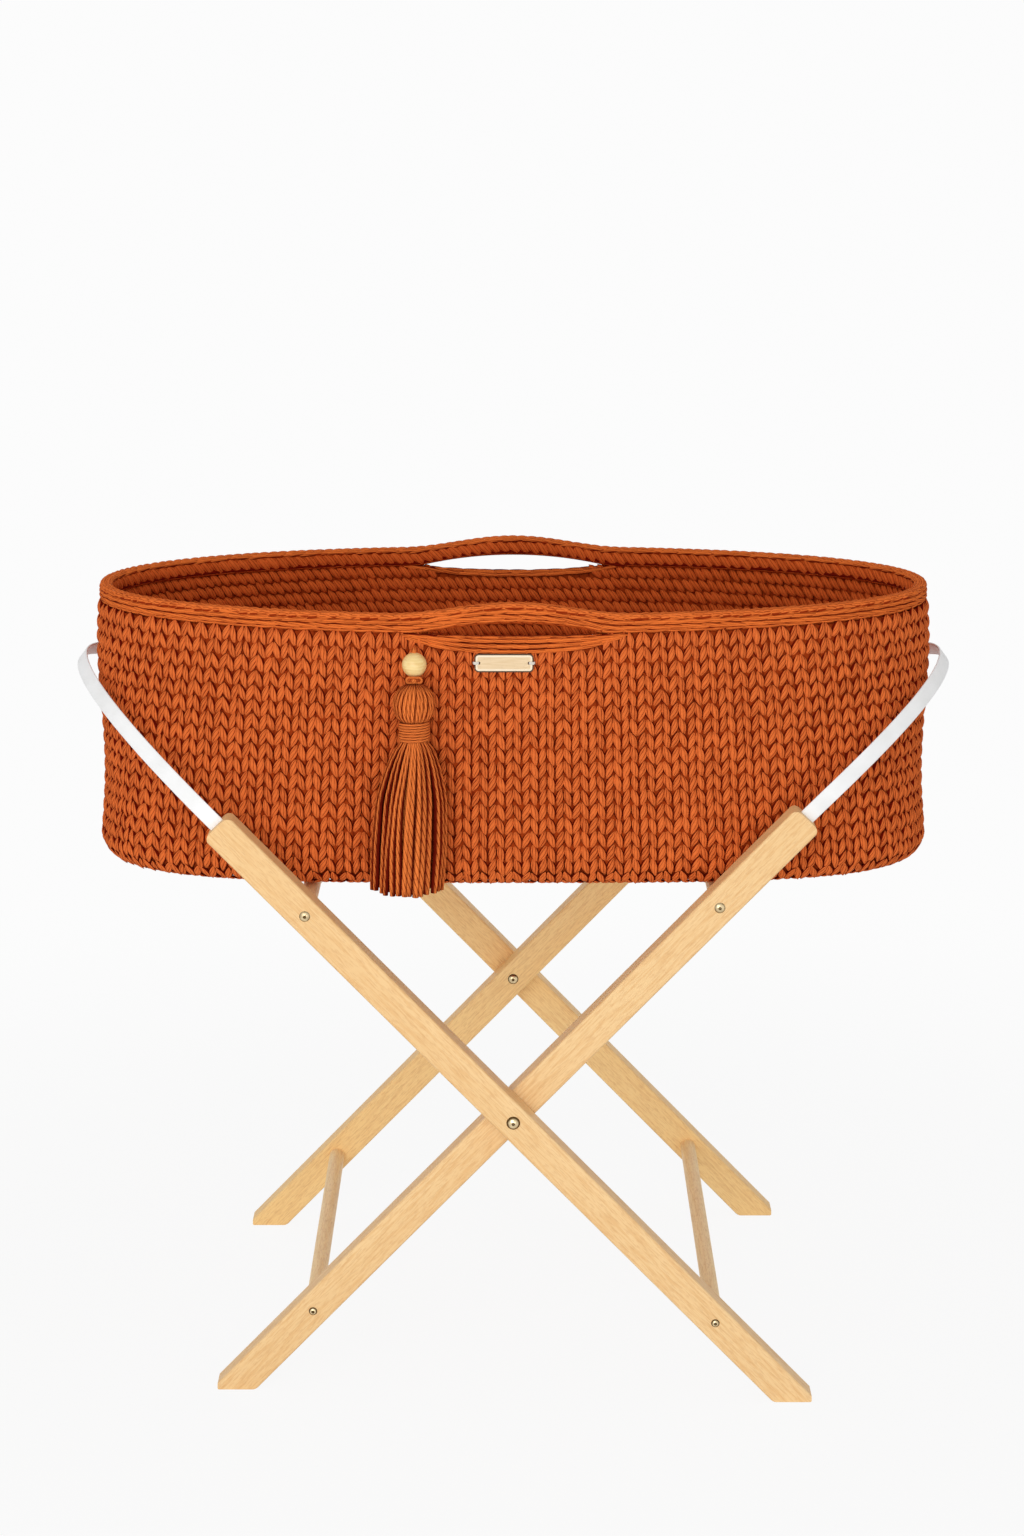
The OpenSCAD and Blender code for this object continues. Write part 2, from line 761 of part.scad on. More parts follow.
module tassel_head() {
    ridged([for (i = [0 : head_steps])
        let (a = mix(head_from, head_to, i / head_steps), low = sin(head_from), high = sin(head_to))
        [mix(neck_top + slide_gap, head_top, (sin(a) - low) / (high - low)),
         head_w / 2 * cos(a), head_depth / 2 * cos(a), ridge_rise, 0]]);
}

// Centre line of the binding yarn, wound round the neck from below
binding_in = binding_d / 2 + slide_gap;
function binding_point(turn) =
    [(neck_w - binding_d) / 2 * cos(360 * turn), (neck_depth - binding_d) / 2 * sin(360 * turn),
     mix(skirt_top + binding_in, neck_top - binding_in, turn / binding_turns)];
binding_line = [for (i = [0 : binding_turns * turn_steps]) binding_point(i / turn_steps)];
binding_gap = min([for (i = [0 : len(binding_line) - 1], j = [i + turn_steps / 2 : len(binding_line) - 1])
    norm(binding_line[i] - binding_line[j])]) - binding_d;
echo(binding_gap = binding_gap);

function yarn_ring(centre, along) =
    let (up = unit([0, 0, 1] - along.z * along), out = cross(up, along))
    [for (i = [0 : yarn_sides - 1])
        let (a = 360 * i / yarn_sides)
        centre + binding_d / 2 * (out * cos(a) - up * sin(a))];

module tassel_binding() {
    last = len(binding_line) - 1;
    start = unit(binding_line[1] - binding_line[0]);
    finish = unit(binding_line[last] - binding_line[last - 1]);
    color(rust_yarn)
        translate([bead_x, tassel_y, 0])
            sweep_body(concat(
                [yarn_ring(binding_line[0] - binding_d * start, start)],
                [for (i = [0 : last])
                    let (ahead = binding_line[min(i + 1, last)], behind = binding_line[max(i - 1, 0)])
                    yarn_ring(binding_line[i], unit(ahead - behind))],
                [yarn_ring(binding_line[last] + binding_d * finish, finish)]));
}

// Skirt with the neck that the binding is wound on
module tassel_skirt() {
    core = [neck_w, neck_depth] / 2 - [1, 1] * (binding_d + soft_gap);
    neck = [neck_w, neck_depth] / 2;
    widest = [skirt_w, skirt_depth] / 2;
    shares = [[0.08, 0.32], [0.2, 0.6], [0.38, 0.9], [0.7, 1], [1, 0.95]];
    ridged(concat(
        [for (i = [len(shares) - 1 : -1 : 0])
            let (half = mix(neck, widest, shares[i].y))
            [mix(skirt_top, hem_z, shares[i].x), half.x, half.y, ridge_rise, skirt_lean * shares[i].x]],
        [[skirt_top, neck.x, neck.y, ridge_rise, 0],
         [skirt_top, core.x, core.y, 0, 0],
         [neck_top, core.x, core.y, 0, 0]]));
}

outer_leg_front();
outer_leg_rear();
inner_leg_front();
inner_leg_rear();
upper_rail_left();
lower_rail_right();
upper_rail_right();
lower_rail_left();
pivot_bolt_front();
pivot_bolt_rear();
sleeve_nut_front();
sleeve_nut_rear();
pivot_spacers();
outer_rail_screws();
inner_rail_screws();
end_band_left();
end_band_right();
webbing_front();
webbing_rear();
basket_wall();
rim_left();
rim_right();
handle_front();
handle_rear();
base_panel();
base_board();
base_lining();
name_plate();
plate_threads();
bead();
bead_cord();
tassel_loop();
tassel_head();
tassel_binding();
tassel_skirt();
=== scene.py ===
import math

import bpy
import numpy as np
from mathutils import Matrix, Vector


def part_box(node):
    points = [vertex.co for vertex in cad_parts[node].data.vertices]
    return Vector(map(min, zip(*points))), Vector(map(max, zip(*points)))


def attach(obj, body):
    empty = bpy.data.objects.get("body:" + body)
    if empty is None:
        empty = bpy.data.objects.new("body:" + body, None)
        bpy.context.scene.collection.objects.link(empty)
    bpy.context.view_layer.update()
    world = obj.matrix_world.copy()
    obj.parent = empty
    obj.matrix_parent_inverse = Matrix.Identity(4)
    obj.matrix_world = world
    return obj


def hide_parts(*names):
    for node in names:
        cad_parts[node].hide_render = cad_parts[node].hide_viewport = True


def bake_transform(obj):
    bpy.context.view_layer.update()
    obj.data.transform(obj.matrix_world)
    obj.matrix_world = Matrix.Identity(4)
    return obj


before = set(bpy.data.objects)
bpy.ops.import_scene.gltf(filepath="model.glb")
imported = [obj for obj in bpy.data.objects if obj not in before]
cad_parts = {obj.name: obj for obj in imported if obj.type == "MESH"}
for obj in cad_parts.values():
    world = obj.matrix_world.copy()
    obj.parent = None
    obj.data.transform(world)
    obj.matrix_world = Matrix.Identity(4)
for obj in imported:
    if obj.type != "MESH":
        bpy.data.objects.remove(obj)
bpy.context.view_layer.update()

# The room: a pale floor that fades into a white background, one broad soft lamp beside the camera,
# a weak low one that reaches under the basket, and even light from all round. The camera stands
# where the photograph was taken from.
BACKGROUND = 0.972
AMBIENT = 0.58
FLOOR_SIZE = 60.0
FLOOR_DROP = 0.0003
FLOOR_TONE = 0.9
SHADOW_SHARE = 0.07
SHADOW_REACH = (0.5, 1.6)
LAMPS = (("soft_lamp", Vector((-0.9, -3.0, 1.4)), 2.2, 39.0),
         ("low_lamp", Vector((0.7, -2.6, 0.3)), 1.4, 10.0))
LAMP_AIM = Vector((0.0, 0.0, 0.45))
PHOTO_WIDTH = 1024
FOCAL_PIXELS = 3130.1
SENSOR = 36.0
CAMERA_PLACE = (-0.0012, -2.9908, 1.2725)
CAMERA_DIP = math.radians(13.453)


class Value:
    """What a node gives: a number, colour, vector or geometry, with Python's operators for numbers."""

    def __init__(self, nodes, socket):
        self.nodes, self.socket = nodes, socket

    def maths(self, operation, first, second=0.0):
        return self.nodes.node("ShaderNodeMath", {"operation": operation}, {0: first, 1: second})

    def __add__(self, other):
        return self.maths("ADD", self, other)

    def __sub__(self, other):
        return self.maths("SUBTRACT", self, other)

    def __rsub__(self, other):
        return self.maths("SUBTRACT", other, self)

    def __mul__(self, other):
        return self.maths("MULTIPLY", self, other)

    __radd__, __rmul__ = __add__, __mul__

    def __abs__(self):
        return self.maths("ABSOLUTE", self)

    def sine(self):
        return self.maths("SINE", self)

    def least(self, other):
        return self.maths("MINIMUM", self, other)

    def most(self, other):
        return self.maths("MAXIMUM", self, other)

    def between(self, low, high, start=0.0, end=1.0):
        """Eases from start to end as the number goes from low to high."""
        return self.nodes.node("ShaderNodeMapRange", {"interpolation_type": "SMOOTHSTEP"},
                               {"Value": self, "From Min": low, "From Max": high,
                                "To Min": start, "To Max": end})


class Nodes:
    """The nodes of a material, of the world or of a tree of geometry, while they are put together."""

    def __init__(self, owner):
        self.owner = bpy.data.materials.new(owner) if isinstance(owner, str) else owner
        self.tree = self.owner
        if not isinstance(self.owner, bpy.types.NodeTree):
            self.owner.use_nodes = True
            self.tree = self.owner.node_tree

    def node(self, kind, settings=None, sockets=None, output=0):
        node = self.tree.nodes.new(kind)
        for name, setting in (settings or {}).items():
            setattr(node, name, setting)
        self.join(node, sockets or {})
        return Value(self, node.outputs[output])

    def join(self, node, sockets):
        for name, value in sockets.items():
            if isinstance(value, Value):
                self.tree.links.new(value.socket, node.inputs[name])
            else:
                node.inputs[name].default_value = value

    def blend(self, factor, first, second):
        return self.node("ShaderNodeMix", {"data_type": "RGBA"}, {0: factor, 6: first, 7: second}, 2)

    def noise(self, vector, scale, detail=2.0):
        return self.node("ShaderNodeTexNoise", {}, {"Vector": vector, "Scale": scale, "Detail": detail})

    def place(self):
        """Where a point lies in the object's own frame."""
        return self.node("ShaderNodeTexCoord", output="Object")

    def parts(self, vector):
        """The three numbers of a vector."""
        split = self.node("ShaderNodeSeparateXYZ", {}, {0: vector})
        return [Value(self, output) for output in split.socket.node.outputs]

    def lie(self):
        """How far round a strand of yarn a point lies, and how far along it."""
        return self.parts(self.node("ShaderNodeUVMap", {"uv_map": "yarn"}))[:2]

    def length(self, vector):
        return self.node("ShaderNodeVectorMath", {"operation": "LENGTH"}, {0: vector}, "Value")

    def vector(self, x, y, z):
        return self.node("ShaderNodeCombineXYZ", {}, {0: x, 1: y, 2: z})

    def bump(self, height, depth, strength=1.0):
        return self.node("ShaderNodeBump", {},
                         {"Height": height, "Distance": depth, "Strength": strength})

    def surface(self, **sockets):
        """Sets the main shader's sockets, named with _ for a space, and returns the material."""
        shader = self.tree.nodes["Principled BSDF"]
        self.join(shader, {name.replace("_", " "): value for name, value in sockets.items()})
        return self.owner


def seen_directly(finish):
    """1 where the camera, a mirror or glass looks straight at the floor or the world."""
    rays = finish.node("ShaderNodeLightPath").socket.node.outputs
    straight, glossy, clear = [Value(finish, rays[f"Is {kind} Ray"])
                               for kind in ("Camera", "Glossy", "Transmission")]
    return (straight + glossy + clear).least(1.0)


def add(name, data):
    made = bpy.data.objects.new(name, data)
    bpy.context.collection.objects.link(made)
    return made


bpy.context.scene.view_settings.view_transform = "Standard"

room = Nodes(bpy.data.worlds.new("white_room"))
bpy.context.scene.world = room.owner
room.join(room.tree.nodes["Background"], {
    "Color": (1.0, 1.0, 1.0, 1.0),
    "Strength": AMBIENT + seen_directly(room) * (BACKGROUND - AMBIENT)})

pale_floor = Nodes("pale_floor")
lit = pale_floor.surface(Base_Color=(FLOOR_TONE, FLOOR_TONE, FLOOR_TONE, 1.0),
                         Roughness=0.9, Specular_IOR_Level=0.0)
glow = pale_floor.node("ShaderNodeEmission", {}, {"Color": (BACKGROUND, BACKGROUND, BACKGROUND, 1.0)})
shaded = pale_floor.length(pale_floor.place()).between(*SHADOW_REACH, 1.0 - SHADOW_SHARE, 1.0)
mixed = pale_floor.node("ShaderNodeMixShader", {}, {
    0: seen_directly(pale_floor) * shaded,
    1: Value(pale_floor, pale_floor.tree.nodes["Principled BSDF"].outputs[0]), 2: glow})
pale_floor.join(pale_floor.tree.nodes["Material Output"], {"Surface": mixed})

floor_mesh = bpy.data.meshes.new("floor")
floor_mesh.from_pydata([(x * FLOOR_SIZE / 2, y * FLOOR_SIZE / 2, -FLOOR_DROP)
                        for x, y in ((-1, -1), (1, -1), (1, 1), (-1, 1))], [], [(0, 1, 2, 3)])
floor_mesh.materials.append(lit)
floor = add("floor", floor_mesh)

for name, place, breadth, power in LAMPS:
    lamp = bpy.data.lights.new(name, "AREA")
    lamp.size, lamp.energy = breadth, power
    lamp_object = add(name, lamp)
    lamp_object.location = place
    lamp_object.rotation_euler = (LAMP_AIM - place).to_track_quat("-Z", "Y").to_euler()

lens = bpy.data.cameras.new("camera")
lens.sensor_fit, lens.sensor_width = "HORIZONTAL", SENSOR
lens.lens = FOCAL_PIXELS / PHOTO_WIDTH * SENSOR
camera = add("camera", lens)
camera.location = CAMERA_PLACE
camera.rotation_euler = (math.pi / 2 - CAMERA_DIP, 0.0, 0.0)
bpy.context.scene.camera = camera

# Legs and rails: planed beech bars and round beech rods, sanded and oiled. The grain runs along each
# one, with the short dark flecks that beech shows. The rear legs and the rails get paler tints and
# fainter streaks than the front legs. This is painted light, making up for the shade that the basket
# casts on the rear legs and for the slanting light on the rails.
LEG_ANGLE = math.radians(46.3)
GROWTH_RINGS, STREAKS, FLECKS = (1.2, 22.0), (36.0, 480.0), (130.0, 900.0)
# The rear and rail tints are painted lighter, and streak less, than the front ones.
LEG_TINTS = {"front": ((244, 206, 149), (237, 196, 137), 0.6),
             "rear": ((255, 218, 150), (252, 209, 138), 0.4)}
RAIL_TINTS = ((255, 226, 172), (252, 218, 160), 0.3)


def tint(red, green, blue):
    """A colour read as 0 to 255, made linear."""
    return tuple(((c / 255 + 0.055) / 1.055) ** 2.4 for c in (red, green, blue)) + (1.0,)


def beech(name, grain, pale, deep, streaking):
    """Beech whose grain runs one way. Each of its patterns is drawn out along the grain."""
    finish = Nodes(name)
    place = finish.place()
    grain = Vector(grain)
    side = grain.orthogonal().normalized()
    along, across, through = [
        finish.node("ShaderNodeVectorMath", {"operation": "DOT_PRODUCT"}, {0: place, 1: axis}, "Value")
        for axis in (grain, side, grain.cross(side))]
    rings, streaks, flecks = [
        finish.noise(finish.vector(along * length, across * width, through * width), 1.0, detail)
        for (length, width), detail in ((GROWTH_RINGS, 3.0), (STREAKS, 3.0), (FLECKS, 1.0))]
    fleck = flecks.between(0.50, 0.66)
    wood = finish.blend(rings.between(0.3, 0.7), tint(*pale), tint(*deep))
    wood = finish.blend(streaks.between(0.42, 0.66) * streaking, wood, tint(226, 176, 113))
    wood = finish.blend(fleck * 0.3, wood, tint(206, 153, 97))
    return finish.surface(
        Base_Color=wood, Roughness=0.46 + streaks * 0.16, Coat_Weight=0.06, Coat_Roughness=0.35,
        Normal=finish.bump(streaks * 0.6 - fleck * 0.4, 0.00025, 0.5))


def dress(node, material):
    """Puts a finish on a piece that the frame already holds."""
    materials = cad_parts[node].data.materials
    materials.clear()
    materials.append(material)


lean, rise = math.cos(LEG_ANGLE), math.sin(LEG_ANGLE)
for row, side in (("outer", -lean), ("inner", lean)):
    for end, tints in LEG_TINTS.items():
        dress(f"{row}_leg_{end}", beech(f"beech_{row}_leg_{end}", (side, 0.0, rise), *tints))
rail_finish = beech("beech_rail", (0.0, 1.0, 0.0), *RAIL_TINTS)
for height in ("upper", "lower"):
    for end in ("left", "right"):
        dress(f"{height}_rail_{end}", rail_finish)

# Bolts, sleeve nuts and rail screws: turned brass with domed heads, polished and a little dulled by
# handling. Each dome is painted dark round its edge, a painted dark reflection. It also has a dark
# spot in the middle, painted shade standing for a driver's socket that isn't modelled. The spacers
# that keep the crossing legs apart are milky nylon washers.
EDGE_REFLECTION_FACING, SOCKET_SHADE_FACING = (0.68, 0.88), (0.982, 0.990)

brass = Nodes("brass")
place = brass.place()
dull = brass.noise(place, 260.0, 3.0).between(0.4, 0.7)
turned = brass.noise(place, 1900.0, 1.0)
facing = abs(brass.parts(brass.node("ShaderNodeTexCoord", output="Normal"))[1])
# Painted dark reflection round each head's edge, painted socket shade in its middle, and real dulling.
painted_dark_and_dulled = facing.between(*EDGE_REFLECTION_FACING, 1.0, 0.0) + facing.between(*SOCKET_SHADE_FACING) * 0.85 + dull * 0.25
polished_brass = brass.surface(
    Base_Color=brass.blend(painted_dark_and_dulled.least(1.0), tint(228, 206, 164), tint(92, 68, 34)),
    Metallic=1.0, Roughness=0.2 + dull * 0.18, Normal=brass.bump(turned, 0.00005, 0.4))
for node in ("pivot_bolt_front", "pivot_bolt_rear", "sleeve_nut_front", "sleeve_nut_rear",
             "outer_rail_screws", "inner_rail_screws"):
    dress(node, polished_brass)

nylon = Nodes("nylon")
cloud = nylon.noise(nylon.place(), 320.0)
dress("pivot_spacers", nylon.surface(
    Base_Color=nylon.blend(cloud.between(0.3, 0.7), tint(236, 232, 222), tint(222, 216, 203)),
    Roughness=0.35 + cloud * 0.2, Normal=nylon.bump(cloud, 0.0001, 0.3)))

# End bands: white coated bands, one round each end of the basket. Each end of a band is glued into
# a slot in the top of a leg, and the band leans outwards as it crosses the end of the basket.
PIVOT_H = 0.279
LEG_REACH = 0.390
BAND_W, BAND_T = 0.015, 0.002
BAND_TUCK = 0.0278
BAND_STANDOFF, BAND_RISE = 0.018, 0.184
BAND_LEAD, BAND_SWEEP = 0.040, 0.115
BAND_STEPS = 48
FRAMES = (("left", "outer", -1.0), ("right", "inner", 1.0))
YARN_PITCH = 0.016


def unit(vectors):
    vectors = np.asarray(vectors, float)
    return vectors / np.linalg.norm(vectors, axis=-1, keepdims=True)


def circle(turn):
    """Points at angles on a circle whose radius is 1."""
    return np.column_stack([np.cos(turn), np.sin(turn)])


def rounded_strip(width, thickness, steps=4):
    """Corner points of a flat section whose two edges are round."""
    turn = np.linspace(-math.pi / 2, math.pi / 2, steps + 1)
    radius, flat = thickness / 2, width / 2 - thickness / 2
    edge = radius * circle(turn) + np.array([flat, 0.0])
    return np.concatenate([edge, -edge])


def cubic(first, second, third, last, steps):
    """Points of a smooth curve from the first point to the last, which sets out for the second and
    comes in from the third."""
    t = np.linspace(0.0, 1.0, steps)[:, None]
    first, second, third, last = [np.asarray(p, float) for p in (first, second, third, last)]
    return (first * (1 - t) ** 3 + second * 3 * t * (1 - t) ** 2
            + third * 3 * t * t * (1 - t) + last * t ** 3)


def swept(path, section, wide, thick):
    """Rings of a section along a path, with the section's two directions at each point."""
    return path[:, None] + section[:, 0, None] * wide[:, None] + section[:, 1, None] * thick[:, None]


def run_of(points):
    """How far along a line each of its points lies."""
    return np.concatenate([[0.0], np.cumsum(np.linalg.norm(np.diff(points, axis=0), axis=1))])


def strand_mesh(name, points, faces):
    """A smooth mesh. Each corner of a face holds its point, and how far round and along its strand
    it lies."""
    mesh = bpy.data.meshes.new(name)
    mesh.from_pydata(points, [], [[corner[0] for corner in face] for face in faces])
    lie = [corner[1:] for face in faces for corner in face]
    mesh.uv_layers.new(name="yarn").data.foreach_set("uv", np.asarray(lie, np.float32).ravel())
    mesh.shade_smooth()
    return add(name, mesh)


def skin_mesh(name, bodies, material):
    """One mesh of closed bodies. Each body is (rings, tone, joined): rings of points along it,
    its tone of the colour, which is one number or one for each point, and whether its last ring
    meets its first."""
    points, faces, tones = [], [], []
    for rings, tone, joined in bodies:
        rings = np.asarray(rings, float)
        count, sides = rings.shape[:2]
        start = sum(len(p) for p in points)
        middle = rings.mean(axis=1)
        along = run_of(middle) / YARN_PITCH
        along = np.append(along, along[-1] + along[1])
        spoke = rings[0] - middle[0]
        facing = np.cross(spoke, np.roll(spoke, -1, axis=0)).sum(axis=0)
        turns_right = np.dot(facing, middle[1] - middle[0]) > 0
        patches = [[(i, j), (i, j + 1), (i + 1, j + 1), (i + 1, j)]
                   for i in range(count if joined else count - 1) for j in range(sides)]
        if not joined:
            patches.append([(0, j) for j in reversed(range(sides))])
            patches.append([(count - 1, j) for j in range(sides)])
        for patch in patches:
            if not turns_right:
                patch.reverse()
            faces.append([(start + a % count * sides + b % sides, b / sides, along[a]) for a, b in patch])
        points.append(rings.reshape(-1, 3))
        tones.append(np.broadcast_to(np.asarray(tone, float), (count, sides)).ravel())
    piece = strand_mesh(name, np.concatenate(points).tolist(), faces)
    piece.data.attributes.new("tone", "FLOAT", "POINT").data.foreach_set(
        "value", np.concatenate(tones).astype(np.float32))
    piece.data.materials.append(material)
    return piece


def put_on(piece, body, slot, *stands_for):
    """Fixes a piece to the body that carries it and hides the solids that it stands for. The slot is not
    used.
    """
    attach(piece, body)
    if stands_for:
        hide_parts(*stands_for)


def box_of(node):
    return [np.array(corner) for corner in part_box(node)]


wall_low, wall_high = box_of("basket_wall")
rim_nodes = ("rim_left", "rim_right", "handle_front", "handle_rear")
rim_boxes = np.array([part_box(node) for node in rim_nodes])
rim_low, rim_high = rim_boxes[:, 0].min(axis=0), rim_boxes[:, 1].max(axis=0)
half_length, half_width, basket_z = rim_high[0], rim_high[1], wall_low[2]


def band_rings(leg_y):
    """Rings of the right-hand band, from the front leg round to the rear one."""
    first = np.array([LEG_REACH * lean, -leg_y, PIVOT_H + LEG_REACH * rise])
    last = np.array([half_length + BAND_STANDOFF, 0.0, basket_z + BAND_RISE])
    along_leg, off_leg = np.array([lean, 0.0, rise]), np.array([-rise, 0.0, lean])
    lead, sweep = first + BAND_LEAD * along_leg, last - np.array([0.0, BAND_SWEEP, 0.0])
    path = cubic(first, lead, sweep, last, BAND_STEPS + 1)
    t = np.linspace(0.0, 1.0, BAND_STEPS + 1)[:, None]
    heading = unit((lead - first) * (1 - t) ** 2 + 2 * (sweep - lead) * t * (1 - t)
                   + (last - sweep) * t * t)
    span = last - first
    wide = off_leg * (1 - t) + unit(np.array([-span[2], 0.0, span[0]])) * t
    wide = unit(wide - (wide * heading).sum(axis=1, keepdims=True) * heading)
    near = swept(path, rounded_strip(BAND_W, BAND_T), wide, np.cross(heading, wide))
    near = np.concatenate([near[:1] - BAND_TUCK * along_leg, near])
    return np.concatenate([near, near[-2::-1] * np.array([1.0, -1.0, 1.0])])


coated = Nodes("coated_band")
place = coated.place()
grain, wear = coated.noise(place, 900.0), coated.noise(place, 30.0)
white_coat = coated.surface(
    Base_Color=coated.blend(wear.between(0.35, 0.75), tint(250, 250, 250), tint(240, 240, 239)),
    Roughness=0.38 + grain * 0.18, Coat_Weight=0.1, Coat_Roughness=0.3,
    Normal=coated.bump(grain, 0.0001, 0.35))

for end, row, flip in FRAMES:
    leg_low, leg_high = box_of(f"{row}_leg_rear")
    rings = band_rings((leg_low[1] + leg_high[1]) / 2) * np.array([flip, 1.0, 1.0])
    band = skin_mesh(f"coated_band_{end}", [(rings, 0.5, False)], white_coat)
    put_on(band, f"{row}_frame", "white_band", f"end_band_{end}")

# Carrying webbing: two woven cotton straps under the basket, looped round the upper rails and sewn
# back under themselves. They stop the frames from opening too far, and the basket stands on them.
WEB_PLACE, WEB_W, WEB_T = 0.095, 0.030, 0.0018
WEB_GAP = 0.0003
WEB_END, WEB_MEET = 0.0504, 0.026
WEB_LEAVE, WEB_REJOIN = 0.009, 0.011
LOOP_TURN = math.radians(240.0)
RUN_STEPS, LOOP_STEPS, REJOIN_STEPS, LAP_STEPS = 24, 30, 12, 6
WARP_PITCH, WEFT_PITCH = 0.0022, 0.0017

rail_low, rail_high = box_of("upper_rail_right")
rail_x, _, rail_z = (rail_low + rail_high) / 2
loop_r = (rail_high[2] - rail_low[2]) / 2 + WEB_GAP + WEB_T / 2


def raised(plan, z=0.0):
    """Adds a height to the points of a plan, or to directions in it."""
    return np.column_stack([plan, np.broadcast_to(z, len(plan))])


def webbing_rings(y):
    """Rings of one strap, from the left lap over the rails to the right lap."""
    lap_z = loop_r - WEB_T
    turn = math.pi / 2 - np.linspace(0.0, LOOP_TURN, LOOP_STEPS)
    loop = loop_r * circle(turn)
    leaving = np.array([math.sin(turn[-1]), -math.cos(turn[-1])])
    rejoin = cubic(loop[-1], loop[-1] + WEB_LEAVE * leaving,
                   (WEB_REJOIN - WEB_MEET, lap_z), (-WEB_MEET, lap_z), REJOIN_STEPS)
    lap = raised(np.linspace(-WEB_MEET, -WEB_END, LAP_STEPS), lap_z)
    run = raised(np.linspace(-rail_x, 0.0, RUN_STEPS), loop_r)
    half = np.concatenate([run, loop[1:], rejoin[1:], lap[1:]]) + np.array([rail_x, rail_z])
    path = np.concatenate([half[:0:-1] * np.array([-1.0, 1.0]), half])
    path = np.insert(path, 1, y, axis=1)
    across = np.broadcast_to([0.0, 1.0, 0.0], path.shape)
    heading = unit(np.gradient(path, axis=0))
    return swept(path, rounded_strip(WEB_W, WEB_T, 3), across, np.cross(heading, across))


cotton = Nodes("cotton_webbing")
place = cotton.place()
warp = (cotton.parts(place)[1] * (math.tau / WARP_PITCH)).sine()
weft = (cotton.lie()[1] * (math.tau * YARN_PITCH / WEFT_PITCH)).sine()
weave = warp * weft
lint = cotton.noise(place, 700.0, 3.0)
woven_cotton = cotton.surface(
    Base_Color=cotton.blend((weave * 0.35 + lint * 0.6).between(-0.1, 0.7),
                            tint(214, 206, 188), tint(243, 239, 228)),
    Roughness=0.8 + lint * 0.15, Sheen_Weight=0.15, Normal=cotton.bump(weave + lint * 0.4, 0.0004, 0.6))

for end, y in (("front", -WEB_PLACE), ("rear", WEB_PLACE)):
    strap = skin_mesh(f"woven_webbing_{end}", [(webbing_rings(y), 0.5, False)], woven_cotton)
    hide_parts(f"webbing_{end}")
    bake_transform(strap)

# Sewing thread on the webbing: a box with a cross in it holds each lap. The same tree of nodes lays
# every stitch of the basket: it sets one stitch on each guide point, turned to the point's own axes.
SEW_STITCH, SEW_THREAD, SEW_DIVES = 0.0032, 0.0008, (0.0003, 0.0003)
SEW_BOX, SEW_UNEVEN = (0.018, 0.011), (0.05, 0.05)
SEAMS = ((0, 1), (1, 2), (2, 3), (3, 0), (0, 2), (1, 3))


def stitch_nodes():
    tree = bpy.data.node_groups.new("stitches_on_guide", "GeometryNodeTree")
    for name, kind in (("Geometry", "Geometry"), ("Stitch", "Object"), ("Yarn", "Material"),
                       ("Size change", "Float"), ("Turn change", "Float"), ("Seed", "Int")):
        tree.interface.new_socket(name, in_out="INPUT", socket_type=f"NodeSocket{kind}")
    tree.interface.new_socket("Geometry", in_out="OUTPUT", socket_type="NodeSocketGeometry")
    laying = Nodes(tree)
    guide, stitch, material, size, turn, seed = [
        Value(laying, socket) for socket in laying.node("NodeGroupInput").socket.node.outputs[:6]]

    def random_number(seed_step, low, high):
        return laying.node("FunctionNodeRandomValue", {"data_type": "FLOAT"},
                           {2: low, 3: high, "Seed": seed + seed_step}, 1)

    grow, out, stretch = [
        laying.node("GeometryNodeInputNamedAttribute", {"data_type": "FLOAT_VECTOR"}, {"Name": name})
        for name in ("grow", "out", "stretch")]
    turned = laying.node("FunctionNodeAxesToRotation", {"primary_axis": "Y", "secondary_axis": "Z"},
                         {"Primary Axis": grow, "Secondary Axis": out})
    scale = laying.node("ShaderNodeVectorMath", {"operation": "SCALE"},
                        {"Vector": stretch, "Scale": random_number(1, 1.0 - size, 1.0 + size)})
    swing = laying.node("FunctionNodeRandomValue", {"data_type": "FLOAT_VECTOR"},
                        {0: turn * -1.0, 1: turn, "Seed": seed + 2})
    form = laying.node("GeometryNodeObjectInfo", {}, {"Object": stitch}, "Geometry")
    laid = guide
    for kind, settings, sockets in (
            ("InstanceOnPoints", {}, {"Instance": form, "Rotation": turned, "Scale": scale}),
            ("RotateInstances", {}, {"Rotation": swing}),
            ("StoreNamedAttribute", {"data_type": "FLOAT", "domain": "INSTANCE"},
             {"Name": "tone", "Value": random_number(3, 0.0, 1.0)}),
            ("RealizeInstances", {}, {}),
            ("SetMaterial", {}, {"Material": material})):
        laid = laying.node(f"GeometryNode{kind}", settings, {0: laid, **sockets})
    laying.join(tree.nodes.new("NodeGroupOutput"), {0: laid})
    return tree


stitch_tree = stitch_nodes()


